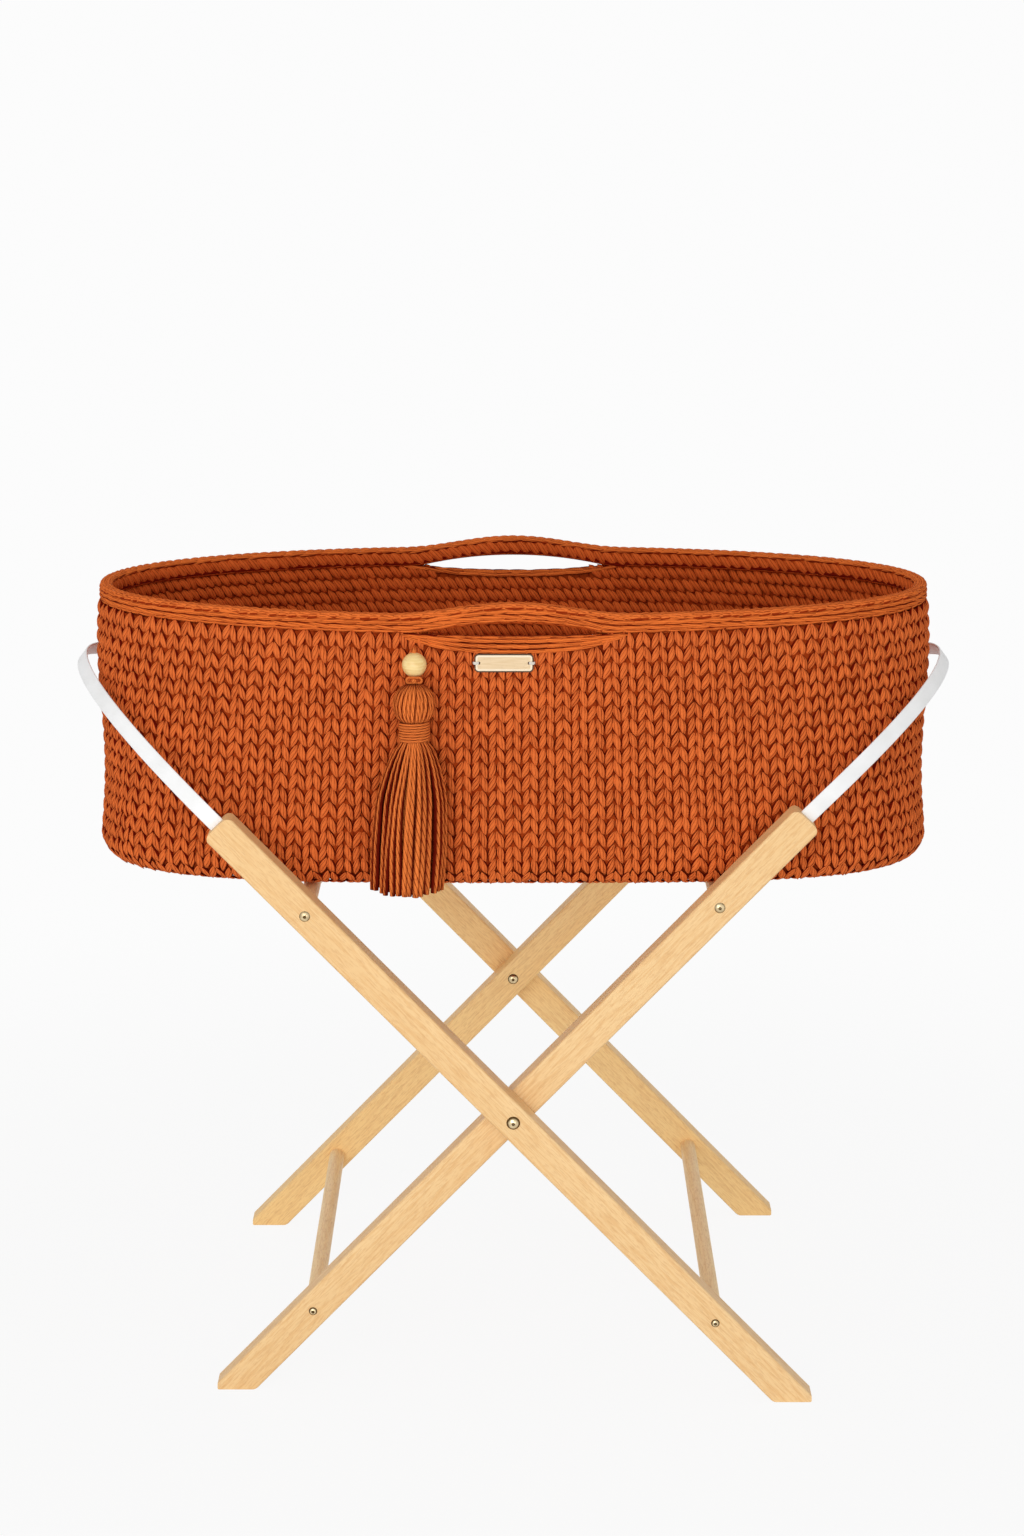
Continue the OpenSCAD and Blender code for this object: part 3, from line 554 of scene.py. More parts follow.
def stitch_form(length, width, thick, dives, sides=8, rings=5, belly=1.0, fullness=0.6):
    """One stitch: a plump leaf of yarn along Y, arched, with the top of its arch at the origin.
    Its two ends dive by their own depths, and belly moves its widest place away from the middle."""
    share = np.linspace(0.0, 1.0, rings + 2)
    swell = np.sin(math.pi * share ** belly) ** fullness
    crown = (np.sin(math.pi * share) - 1) * np.where(share < 0.5, *dives) - thick / 2
    turn = np.arange(sides) / sides * math.tau - math.pi / 2
    points, faces = [], []
    for i in range(1, rings + 1):
        points.extend((width / 2 * swell[i] * math.cos(a), (share[i] - 0.5) * length,
                       crown[i] + thick / 2 * swell[i] * math.sin(a)) for a in turn)
    points.extend([(0.0, -length / 2, crown[0]), (0.0, length / 2, crown[-1])])
    low, high, last = rings * sides, rings * sides + 1, (rings - 1) * sides
    for j in range(sides):
        following = (j + 1) % sides
        left, middle, right = [(j + step) / sides for step in (0, 0.5, 1)]
        faces.append([(j, left, share[1]), (following, right, share[1]), (low, middle, 0.0)])
        for i in range(rings - 1):
            ring, beyond = i * sides, (i + 1) * sides
            faces.append([(beyond + j, left, share[i + 2]), (beyond + following, right, share[i + 2]),
                          (ring + following, right, share[i + 1]), (ring + j, left, share[i + 1])])
        faces.append([(high, middle, 1.0), (last + following, right, share[rings]),
                      (last + j, left, share[rings])])
    return strand_mesh("stitch_form", points, faces)


def lay_stitches(name, guide, form, material, changes, seed, body="basket", slot="yarn"):
    """A piece with the stitch form on each guide point: rows of place, grow, out and stretch.
    The changes are how much a stitch's size and turn may differ from the form's."""
    guide = np.asarray(guide, np.float32).reshape(-1, 12)
    points = bpy.data.meshes.new(name)
    points.from_pydata(guide[:, :3].tolist(), [], [])
    for label, first in (("grow", 3), ("out", 6), ("stretch", 9)):
        points.attributes.new(label, "FLOAT_VECTOR", "POINT").data.foreach_set(
            "vector", guide[:, first:first + 3].ravel())
    piece = add(name, points)
    modifier = piece.modifiers.new("stitches", "NODES")
    modifier.node_group = stitch_tree
    settings = {"Stitch": form, "Yarn": material, "Size change": changes[0],
                "Turn change": changes[1], "Seed": seed}
    for item in stitch_tree.interface.items_tree:
        if item.in_out == "INPUT" and item.name in settings:
            modifier[item.identifier] = settings[item.name]
    evaluated = piece.evaluated_get(bpy.context.evaluated_depsgraph_get())
    mesh = bpy.data.meshes.new_from_object(evaluated)
    piece.modifiers.clear()
    piece.data = mesh
    put_on(piece, body, slot)


def guide_rows(places, grow, out, stretch=(1.0, 1.0, 1.0)):
    places = np.asarray(places, float)
    return np.concatenate([np.broadcast_to(np.asarray(part, float), places.shape)
                           for part in (places, grow, out, stretch)], axis=1)


sewing = Nodes("sewing_thread")
around, along = sewing.lie()
ply = abs(((around + along * 2.0) * math.tau).sine())
pale_thread = sewing.surface(
    Base_Color=sewing.blend(ply, tint(196, 190, 176), tint(240, 236, 226)),
    Roughness=0.6 + ply * 0.2, Normal=sewing.bump(ply, 0.0001, 0.6))

thread_form = stitch_form(SEW_STITCH, SEW_THREAD, SEW_THREAD, SEW_DIVES, sides=6, rings=4, fullness=0.4)
lap_middle = (WEB_END + WEB_MEET) / 2
thread_z = rail_z + loop_r - WEB_T * 1.5 - SEW_THREAD * 0.55
box_corners = [np.array([x * SEW_BOX[0] / 2, y * SEW_BOX[1]])
               for x, y in ((-1, -1), (1, -1), (1, 1), (-1, 1))]
for end, row, side in FRAMES:
    guide = []
    for strap_y in (-WEB_PLACE, WEB_PLACE):
        for a, b in SEAMS:
            run = box_corners[b] - box_corners[a]
            count = int(np.linalg.norm(run) / SEW_STITCH)
            spots = box_corners[a] + (np.arange(count)[:, None] + 0.5) / count * run
            places = raised(spots + np.array([side * (rail_x - lap_middle), strap_y]), thread_z)
            guide.append(guide_rows(places, np.append(unit(run), 0.0), (0.0, 0.0, -1.0)))
    lay_stitches(f"webbing_thread_{end}", np.concatenate(guide), thread_form, pale_thread,
                 SEW_UNEVEN, 3, f"{row}_frame", "thread")
bpy.data.objects.remove(thread_form)

# Basket wall: rust-coloured cotton cord, crocheted round and round from the base up. Outside, each
# column is a chain of V-shaped stitches; inside, the same rows show as slanting bumps.
WALL_T, BASE_ROUND = 0.012, 0.024
PLAN_LOW, PLAN_HIGH = 3.5, 2.15
WAIST = 0.0035
HANDLE_RISE, HANDLE_L = 0.011, 0.230
HOLE_RISE, FRONT_HOLE_L, REAR_HOLE_L = 0.011, 0.178, 0.200
FRONT_DIP, REAR_DIP = 0.0015, 0.006
V_COLUMNS, V_ROWS = 132, 19
V_LEAN, V_APART = math.radians(16.0), 0.25
V_LENGTH, V_WIDTH, V_THICK, V_DIVES = 1.5, 0.0085, 0.0074, (0.0008, 0.0013)
BUMP_COLUMNS, BUMP_ROWS, BUMP_START = 212, 18, 0.0105
BUMP_LENGTH, BUMP_WIDTH, BUMP_THICK, BUMP_DIVES = 0.0205, 0.0084, 0.0064, (0.0014, 0.0014)
BUMP_LEAN = math.radians(44.0)
EDGING_DROP, INNER_DROP, EDGING_PAST = 0.0136, 0.007, 0.012
CORE_DEPTH, CORE_STEPS, CORE_LEVELS = 0.0036, 180, 7
HEM_ROWS, HEM_FLATNESS = 2, 0.5
WALL_UNEVEN = (0.06, 0.12)
PLAN_STEPS = 1440

rim_z, rim_top, wall_top = rim_low[2], rim_high[2] - HANDLE_RISE, wall_high[2]
basket_h = rim_top - basket_z
up = np.array([0.0, 0.0, 1.0])


def squareness(z):
    """How square the plan is at a height: it eases from the base to the rim."""
    share = np.clip((z - basket_z) / basket_h, 0.0, 1.0)
    return PLAN_LOW + (PLAN_HIGH - PLAN_LOW) * share * share * (3 - 2 * share)


def waist(z):
    """How far the ends are drawn in at a height: a waist above the base, a bulge below the rim."""
    share = np.clip((z - basket_z - BASE_ROUND) / (basket_h - BASE_ROUND), 0.0, 1.0)
    return WAIST * np.sin(math.tau * share)


def hole_length(y):
    return np.where(y < 0, FRONT_HOLE_L, REAR_HOLE_L)


def hole_share(x, y):
    """Share of a hand hole's height at a place, from its ends to its middle."""
    return np.clip(1 - (2 * x / hole_length(y)) ** 2, 0, 1)


def dipped(places):
    """Lowers places at the wall's top edge where it dips under a hand hole."""
    dip = np.where(places[:, 1] < 0, FRONT_DIP, REAR_DIP) * hole_share(places[:, 0], places[:, 1])
    return places - np.outer(dip, up)


def plan_curve(inset, power, end_inset=0.0):
    """Dense points of the plan, drawn in by inset, and at its ends by end_inset as well."""
    turn = np.linspace(0.0, math.tau, PLAN_STEPS + 1)
    c, s = np.cos(turn), np.sin(turn)
    reach = (np.abs(c) ** power + np.abs(s) ** power) ** (-1 / power)
    return np.column_stack([(half_length - inset - end_inset) * c * reach,
                            (half_width - inset) * s * reach])


def along_curve(points, shares):
    """Places and headings at shares of the length of a closed curve."""
    reach = run_of(points)
    at = (np.asarray(shares) % 1.0) * reach[-1]
    ahead = (at + reach[-1] / PLAN_STEPS) % reach[-1]
    place, beyond = [np.stack([np.interp(where, reach, axis) for axis in points.T], axis=1)
                     for where in (at, ahead)]
    return place, unit(beyond - place)


def outward(heading):
    """Level directions square to headings round the basket, away from its middle."""
    return unit(raised(heading[:, [1, 0]] * np.array([1.0, -1.0])))


def wall_row(inset, z, shares):
    """Places on a level row of the wall, with the headings along it and the normals out of it."""
    place, heading = along_curve(plan_curve(inset, squareness(z), waist(z)), shares)
    return raised(place, z), raised(heading), outward(heading)


def under_hand_hole(places, drop):
    """True where a place lies in the edging below a hand hole."""
    share = 2 * places[:, 0] / (hole_length(places[:, 1]) + EDGING_PAST)
    top = dipped(raised(places[:, :2], wall_top))[:, 2]
    return (np.abs(share) < 1) & (places[:, 2] > top - drop * np.sqrt(np.clip(1 - share ** 2, 0, 1)))


def climbing_row(climbed, radius, shares, lean, face, drop, shape=(1.0, 1.0, 1.0)):
    """A row of stitches that have climbed some way round the lower edge and up the wall. They lean along
    the row and face out of the wall, or into the basket, and stay clear of the hand holes' edging."""
    bend = min(climbed / radius, math.pi / 2)
    z = basket_z + BASE_ROUND - radius * math.cos(bend) + max(climbed - radius * math.pi / 2, 0.0)
    place, heading, normal = wall_row(BASE_ROUND - radius * math.sin(bend), z, shares)
    climb = normal * math.cos(bend) + up * math.sin(bend)
    out = (normal * math.sin(bend) - up * math.cos(bend)) * face
    grow = climb * math.cos(lean) + heading * math.sin(lean)
    return guide_rows(place, grow, out, shape)[~under_hand_hole(place, drop)]


def yarn(name, pale, deep, plies=7, ends=None, sides=(0.15, 0.225)):
    """Cotton cord: plies that twist round it, with loose fibres on them. A stitch has painted shade along
    its sides, and over a share of its length at each of its two ends, where it dives in between others."""
    finish = Nodes(name)
    around, along = finish.lie()
    tone = finish.node("ShaderNodeAttribute", {"attribute_name": "tone"}, output="Fac")
    twist = around * plies + along * 1.6
    ply = abs((twist * math.pi).sine())
    fibre = finish.noise(finish.vector(twist * 3.0, along * 2.2, tone * 60.0), 1.6, 3.0)
    light = 0.08 + ply.between(0.0, 0.6) * 0.44 + fibre.between(0.25, 0.75) * 0.36 + tone * 0.2
    # Painted shade: the stitch darkens along its sides and towards its ends, where it meets its
    # neighbours.
    if ends:
        light = light * along.between(0.0, ends) * (1.0 - along).between(0.0, ends)
        light = light * abs(around - 0.5).between(*sides, 1.0, 0.0)
    return finish.surface(
        Base_Color=finish.blend(light.between(0.1, 0.95), tint(*deep), tint(*pale)),
        Roughness=0.78 + fibre * 0.2, Specular_IOR_Level=0.04,
        Normal=finish.bump(ply * 0.7 + fibre * 0.5, 0.0007, 0.75))


rust_yarn = yarn("rust_yarn", (229, 114, 54), (106, 16, 0), ends=0.05, sides=(0.12, 0.185))
# The copy of the cord used inside the basket, on the rim's inner row and on the base has a darker pale
# tone than the outside cord: painted shade.
shaded_inside_yarn = yarn("rust_yarn_inside", (220, 101, 43), (144, 50, 10), ends=0.06, sides=(0.15, 0.23))
shadow_core_yarn = yarn("rust_yarn_shadow", (154, 56, 15), (106, 26, 2))

# The wall's own thickness, which closes the gaps between the stitches. Its dark tone is painted shade
# seen through the gaps.
turn = np.linspace(0.0, math.pi / 2, CORE_LEVELS)
outer_r, inner_r = BASE_ROUND - CORE_DEPTH, BASE_ROUND - WALL_T + CORE_DEPTH
levels = np.linspace(BASE_ROUND, wall_top - basket_z, CORE_LEVELS)[1:]
section = [(BASE_ROUND - outer_r * math.sin(a), BASE_ROUND - outer_r * math.cos(a)) for a in turn]
section.extend((CORE_DEPTH, z) for z in levels)
section.extend((WALL_T - CORE_DEPTH, z) for z in levels[::-1])
section.extend((BASE_ROUND - inner_r * math.cos(a), BASE_ROUND - inner_r * math.sin(a)) for a in turn)
core_shares = np.arange(CORE_STEPS) / CORE_STEPS
rings = np.stack([wall_row(inset, basket_z + z, core_shares)[0] for inset, z in section], axis=1)
for i, (_, z) in enumerate(section):
    if z == levels[-1]:
        rings[:, i] = dipped(rings[:, i])
put_on(skin_mesh("wall_core", [(rings, 0.5, True)], shadow_core_yarn), "basket", "yarn", "basket_wall")

row_pitch = (BASE_ROUND * math.pi / 2 + wall_top - basket_z - BASE_ROUND) / V_ROWS
v_form = stitch_form(row_pitch * V_LENGTH, V_WIDTH, V_THICK, V_DIVES, rings=7, belly=1.1, fullness=0.85)
v_guide = np.concatenate([
    climbing_row((row + 0.5) * row_pitch, BASE_ROUND,
                 (np.arange(V_COLUMNS) + 0.5 + side * V_APART) / V_COLUMNS, side * V_LEAN, 1, EDGING_DROP,
                 (1.0, 1.0, HEM_FLATNESS if row < HEM_ROWS else 1.0))
    for row in range(V_ROWS) for side in (-1, 1)])
right, rear = v_guide[:, 0] > 0, v_guide[:, 1] > 0
for quarter, mine in (("front_left", ~right & ~rear), ("front_right", right & ~rear),
                      ("rear_right", right & rear), ("rear_left", ~right & rear)):
    lay_stitches(f"wall_stitches_{quarter}", v_guide[mine], v_form, rust_yarn, WALL_UNEVEN, 11)
bpy.data.objects.remove(v_form)

inner_round = BASE_ROUND - WALL_T
bump_pitch = (inner_round * math.pi / 2 + wall_top - basket_z - BASE_ROUND - BUMP_START) / BUMP_ROWS
bump_form = stitch_form(BUMP_LENGTH, BUMP_WIDTH, BUMP_THICK, BUMP_DIVES)
bump_guide = np.concatenate([
    climbing_row(BUMP_START + (row + 0.5) * bump_pitch, inner_round,
                 (np.arange(BUMP_COLUMNS) + 0.5 * (row % 2)) / BUMP_COLUMNS, BUMP_LEAN, -1, INNER_DROP)
    for row in range(BUMP_ROWS)])
right = bump_guide[:, 0] > 0
for end, mine in (("left", ~right), ("right", right)):
    lay_stitches(f"inside_stitches_{end}", bump_guide[mine], bump_form, shaded_inside_yarn, WALL_UNEVEN, 12)

# Rim band: rows of slip stitch worked round the top edge, so the cord lies along it in long strands
# outside and slants inside. It arches over a hand hole on each side, and a few rows edge each hole.
RIM_H, RIM_T = 0.019, 0.014
RIM_SECTION = ((0, 0.2), (0, 0.8), (0.25, 1), (0.75, 1), (1, 0.8), (1, 0.2), (0.75, 0), (0.25, 0))
RIM_CORE, RIM_LAP = 0.0022, 0.02
RIM_STRANDS, INNER_HEIGHT = 12, 0.42
EDGE_FACE, INNER_FACE = 0.75, -0.8
STRAND_LENGTH, STRAND_WIDTH, STRAND_THICK, STRAND_DIVES = 0.040, 0.0053, 0.0060, (0.0007, 0.0007)
STRAND_PITCH, STRAND_SHIFT = 0.019, 0.37
STRAND_LEAN, EDGE_LEAN, INSIDE_LEAN = math.radians(3.0), math.radians(9.0), math.radians(40.0)
STRAND_SHAPE, EDGE_SHAPE, INSIDE_SHAPE = (1.0, 1.0, 1.0), (1.4, 0.5, 1.25), (1.7, 0.52, 1.1)
EDGING_ROWS = ((0.0, 0.0035, (1, 0)), (0.0, 0.0085, (1, 0)), (0.0, 0.0135, (1, 0)),
               (0.002, 0.0, (0.7, 0.7)), (0.006, -0.0005, (0, 1)), (0.010, 0.0, (-0.7, 0.7)),
               (WALL_T, 0.004, (-1, 0)))
EDGING_STITCHES, EDGING_SHORT = 12, 0.018
RIM_UNEVEN, EDGING_UNEVEN = (0.06, 0.05), (0.05, 0.05)


def rim_curve(inset, height):
    """Dense points of the rim at a depth from its outside and a share of its height."""
    plan = plan_curve(inset, PLAN_HIGH)
    x = plan[:, 0] * half_length / (half_length - inset)
    arch = np.where(np.abs(x) < HANDLE_L / 2, np.cos(math.pi * x / HANDLE_L) ** 2, 0)
    low, high = rim_z + HOLE_RISE * hole_share(x, plan[:, 1]), rim_top + HANDLE_RISE * arch
    return np.column_stack([plan, low + (high - low) * height])


rim_section = np.array(RIM_SECTION)
core_section = (rim_section - 0.5) * (1 - 2 * RIM_CORE / np.array([RIM_T, RIM_H])) + 0.5
core_section[rim_section[:, 1] == 0, 1] = -RIM_LAP
rings = np.stack([along_curve(rim_curve(inset * RIM_T, height), core_shares)[0]
                  for inset, height in core_section], axis=1)
rim_shadow = yarn("rust_yarn_rim_shadow", (190, 80, 28), (132, 40, 4))
put_on(skin_mesh("rim_core", [(rings, 0.5, True)], rim_shadow), "basket", "yarn", *rim_nodes)

rim_yarn = yarn("rust_yarn_rim", (238, 120, 52), (110, 18, 0), ends=0.005, sides=(0.08, 0.185))
edge_yarn = yarn("rust_yarn_edge", (234, 118, 53), (146, 46, 10), ends=0.02, sides=(0.2, 0.27))
strand_form = stitch_form(STRAND_LENGTH, STRAND_WIDTH, STRAND_THICK, STRAND_DIVES, rings=6, fullness=0.42)
walk = np.concatenate([rim_section, rim_section[:1]]) * np.array([RIM_T, RIM_H])
walked = run_of(walk)
rim_rows = [("inner", RIM_T, RIM_H * INNER_HEIGHT, np.array([-1.0, 0.0]), -INSIDE_LEAN, INSIDE_SHAPE)]
for strand in range(RIM_STRANDS):
    at = (strand + 0.5) / RIM_STRANDS * walked[-1]
    inset, height = [np.interp(at, walked, axis) for axis in walk.T]
    lie = np.array([1 - 2 * inset / RIM_T, 2 * height / RIM_H - 1])
    face = unit(np.sign(lie) * np.abs(lie) ** 3 / np.array([RIM_T, RIM_H]))
    slant = STRAND_LEAN if strand % 2 else -STRAND_LEAN
    if face[1] > EDGE_FACE:
        rim_rows.append(("edge", inset, height, face, EDGE_LEAN, EDGE_SHAPE))
    elif face[0] > INNER_FACE:
        rim_rows.append(("outer", inset, height, face, slant, STRAND_SHAPE))
rim_guides = {"inner": [], "edge": [], "outer": []}
for row, (kind, inset, height, face, slant, shape) in enumerate(rim_rows):
    curve = rim_curve(inset, height / RIM_H)
    count = int(run_of(curve)[-1] / (STRAND_PITCH * shape[1]))
    place, heading = along_curve(curve, (np.arange(count) + STRAND_SHIFT * row) / count)
    out = outward(heading) * face[0] + up * face[1]
    grow = heading * math.cos(slant) + np.cross(out, heading) * math.sin(slant)
    rim_guides[kind].append(guide_rows(place, grow, out, shape))
for kind, material in (("inner", shaded_inside_yarn), ("edge", edge_yarn)):
    guide = np.concatenate(rim_guides[kind])
    lay_stitches(f"rim_{kind}_rows", guide, strand_form, material, RIM_UNEVEN, 13)
guide = np.concatenate(rim_guides["outer"])
rear = guide[:, 1] > 0
for end, mine in (("front", ~rear), ("rear", rear)):
    lay_stitches(f"rim_strands_{end}", guide[mine], strand_form, rim_yarn, RIM_UNEVEN, 13)

guide = []
for side in (-1, 1):
    length, power = hole_length(side) + EDGING_PAST, squareness(wall_top)
    x = np.linspace(-0.5, 0.5, EDGING_STITCHES) * (length - EDGING_SHORT)
    sag = np.sqrt(1 - (2 * x / length) ** 2)
    for inset, depth, face in EDGING_ROWS:
        y = side * (half_width - inset) * (1 - np.abs(x / (half_length - inset)) ** power) ** (1 / power)
        place = dipped(np.column_stack([x, y, wall_top - depth * sag]))
        heading = unit(np.gradient(place, axis=0))
        out = outward(heading) * -side * face[0] + up * face[1]
        guide.append(guide_rows(place, heading, out))
lay_stitches("hand_hole_edging", np.concatenate(guide), strand_form, rim_yarn, EDGING_UNEVEN, 14)
bpy.data.objects.remove(strand_form)

# Base: a crocheted oval sewn into the wall's lower edge, a plywood board on it, and a crocheted
# lining over the board. The rows of stitches run round the oval, one inside the other.
BASE_EDGE = BASE_ROUND + 0.0003
LINING_EDGE = 0.0185
BASE_PITCH, BASE_SHAPE, BASE_UNEVEN = 0.0115, (1.3, 1.1, 1.0), (0.05, 0.10)
VENEER = 0.0026

for node, top_inset, face in (("base_panel", BASE_EDGE, -1), ("base_lining", LINING_EDGE, 1)):
    low_z, high_z = [corner[2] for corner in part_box(node)]
    surface_z, back_z = (low_z, high_z) if face < 0 else (high_z, low_z)
    place, _ = along_curve(plan_curve(BASE_EDGE, PLAN_LOW), core_shares)
    rings = [raised(place, z) for z in (back_z, surface_z - face * CORE_DEPTH)]
    put_on(skin_mesh(f"{node}_core", [(rings, 0.5, False)], shadow_core_yarn), "basket", "yarn", node)
    guide = []
    row_count = round((half_width - top_inset) / row_pitch)
    row_width = (half_width - top_inset) / row_count
    for row in range(row_count):
        curve = plan_curve(top_inset + (row + 0.5) * row_width, PLAN_LOW)
        count = int(run_of(curve)[-1] / BASE_PITCH)
        place, heading = along_curve(curve, (np.arange(count) + 0.5 * (row % 2)) / count)
        grow = outward(heading) * math.cos(BUMP_LEAN) + raised(heading) * math.sin(BUMP_LEAN)
        guide.append(guide_rows(raised(place, surface_z), grow, up * face, BASE_SHAPE))
    lay_stitches(f"{node}_stitches", np.concatenate(guide), bump_form, shaded_inside_yarn, BASE_UNEVEN, 15)
bpy.data.objects.remove(bump_form)

board = Nodes("plywood_board")
x, y, z = board.parts(board.place())
veneer = board.noise(board.vector(x * 4.0, y * 70.0, z * 900.0), 1.0, 4.0)
layers = (z * (math.tau / VENEER)).sine().between(-0.2, 0.2)
dress("base_board", board.surface(
    Base_Color=board.blend(veneer.between(0.3, 0.7), tint(226, 199, 152), tint(201, 168, 118)),
    Roughness=0.6 + layers * 0.12, Normal=board.bump(veneer, 0.0002, 0.4)))

# Name plate: a blank brushed plate of pale gilt metal with a hole at each end. A pale thread
# through each hole goes over the end of the plate and back into the crochet.
PLATE_R, PLATE_HOLE_IN = 0.004, 0.004
THREAD_REACH, THREAD_RISE, THREAD_R = 0.0025, 0.0021, 0.00048
THREAD_APART, THREAD_SINK, THREAD_STEPS = 0.0008, 0.12, 20
ASKEW = (0.31, 0.17, 0.93)

gilt = Nodes("gilt_plate")
x, y, z = gilt.parts(gilt.place())
plate_low, plate_high = box_of("name_plate")
plate_x, _, plate_z = (plate_low + plate_high) / 2
plate_half = (plate_high - plate_low) / 2
past_x = (abs(x - plate_x) - (plate_half[0] - PLATE_R)).most(0.0)
past_z = (abs(z - plate_z) - (plate_half[2] - PLATE_R)).most(0.0)
to_edge = PLATE_R - gilt.length(gilt.vector(past_x, past_z, 0.0))
brushed = gilt.noise(gilt.vector(x * 60.0, y * 60.0, z * 4200.0), 1.0)
handled = gilt.noise(gilt.vector(x, y, z), 130.0)
# Painted shadow: the plate's outermost millimetre is darkened to stand for its shadow on the crochet
# round it. Painted highlight: a pale band just inside it stands for light on a bevel that isn't modelled.
# The handled marks are real wear.
edge_shadow_line = to_edge.between(0.0009, 0.0014, 1.0, 0.0)
bevel_highlight = to_edge.between(0.0012, 0.0018) * to_edge.between(0.0022, 0.0034, 1.0, 0.0)
metal = gilt.blend(brushed.between(0.3, 0.7), tint(212, 184, 142), tint(230, 205, 168))
metal = gilt.blend(bevel_highlight * 0.6, metal, tint(248, 240, 222))
dress("name_plate", gilt.surface(
    Base_Color=gilt.blend((edge_shadow_line + handled.between(0.5, 0.8) * 0.12).least(1.0), metal, tint(66, 42, 24)),
    Metallic=0.25, Roughness=0.5 + brushed * 0.14, Normal=gilt.bump(brushed, 0.00006, 0.4)))


def tube(path, radius, sides=8):
    """Rings of a cord along a path. The radius is one number or one for each point. The first
    side is set out from a direction that no cord starts in."""
    path = np.asarray(path, float)
    heading = unit(np.gradient(path, axis=0))
    side = np.cross(heading[0], ASKEW)
    frame_sides = []
    for direction in heading:
        side = unit(side - np.dot(side, direction) * direction)
        frame_sides.append(side)
    frame_sides = np.array(frame_sides)
    turn = np.arange(sides) / sides * math.tau
    reach = np.broadcast_to(np.asarray(radius, float), (len(path),))[:, None]
    return swept(path, circle(turn), reach * frame_sides, reach * np.cross(heading, frame_sides))


turn = np.linspace(-THREAD_SINK, math.pi + THREAD_SINK, THREAD_STEPS)
loops = []
for side in (-1, 1):
    hole_x = plate_x + side * (plate_half[0] - PLATE_HOLE_IN)
    for lift in (-1, 0, 1):
        path = np.column_stack([hole_x + side * THREAD_REACH * (1 - np.cos(turn)),
                                plate_high[1] - THREAD_RISE * np.sin(turn)])
        loops.append((tube(raised(path, plate_z + lift * THREAD_APART), THREAD_R, 6), 0.5, False))
put_on(skin_mesh("plate_stitches", loops, pale_thread), "basket", "thread", "plate_threads")

# Bead: a turned and waxed wooden ball. A cord of the basket's yarn comes out of the wall above it,
# goes down through it, and carries the tassel on a short pin below.
CORD_R, CORD_BEND, CORD_SINK = 0.0019, 0.0024, 0.003
PIN_R, PIN_PAST, PIN_STEPS = 0.0013, 0.0025, 8
KNOB_R, KNOB_FROM, KNOB_TO, KNOB_STEPS = 0.0023, 0.0012, 0.0057, 7

bead_low, bead_high = box_of("bead")
bead_x, bead_y, bead_z = (bead_low + bead_high) / 2
bead_r = (bead_high[0] - bead_low[0]) / 2
loop_low, loop_high = box_of("tassel_loop")
_, tassel_y, hanger_z = (loop_low + loop_high) / 2

waxed = Nodes("waxed_bead")
x, y, z = waxed.parts(waxed.place())
rings_in_wood = waxed.noise(waxed.vector(x * 30.0, y * 160.0, z * 420.0), 1.0)
dress("bead", waxed.surface(
    Base_Color=waxed.blend(rings_in_wood.between(0.3, 0.75), tint(247, 219, 152), tint(232, 195, 124)),
    Roughness=0.3 + rings_in_wood * 0.12, Coat_Weight=0.25, Coat_Roughness=0.2,
    Normal=waxed.bump(rings_in_wood, 0.00008, 0.3)))

spun_yarn = yarn("spun_yarn", (240, 128, 60), (96, 16, 0), plies=5)
power = squareness(bead_z)
anchor_y = CORD_SINK - half_width * (1 - abs(bead_x / half_length) ** power) ** (1 / power)
bead_top, cord_z = bead_z + bead_r, bead_z + bead_r + CORD_BEND
above = cubic((bead_x, bead_y, bead_top), (bead_x, bead_y, cord_z), (bead_x, bead_y, cord_z),
              (bead_x, anchor_y, cord_z), 16)
below = np.linspace((bead_x, bead_y, hanger_z), (bead_x, bead_y, bead_top), 6)[:-1]
pin, knob = [np.linspace((bead_x, start, hanger_z), (bead_x, end, hanger_z), steps)
             for start, end, steps in ((anchor_y, tassel_y - PIN_PAST, PIN_STEPS),
                                       (tassel_y - KNOB_FROM, tassel_y - KNOB_TO, KNOB_STEPS))]
knob_r = KNOB_R * np.sqrt(1 - np.linspace(-0.95, 0.95, KNOB_STEPS) ** 2)
cord = [(tube(np.concatenate([below, above]), CORD_R), 0.6, False),
        (tube(pin, PIN_R), 0.5, False), (tube(knob, knob_r), 0.7, False)]
put_on(skin_mesh("bead_cord_yarn", cord, spun_yarn), "basket", "yarn", "bead_cord")

# Tassel: a hank of the same yarn, folded over a ring of yarn at the top. A winding binds its neck,
# so the fold above swells into a round head and the cut ends below hang as a skirt.
HEAD_STRANDS, HEAD_YARN, HEAD_TIP, HEAD_STEPS = 25, 0.0023, 0.0002, 14
HEAD_IN, HEAD_SHADE_CORE_IN, HEAD_TWIST = 0.0022, 0.003, 0.10
HEAD_BOTTOM, HEAD_TOP = math.radians(-64.0), math.radians(72.0)
HEAD_LOOSE, SKIRT_LOOSE = 0.15, 0.22
BINDING_TURNS, BINDING_R, BINDING_PAST, BINDING_TUCK = 7, 0.0014, 0.003, 0.8
NECK_W, NECK_DEPTH = 0.029, 0.024
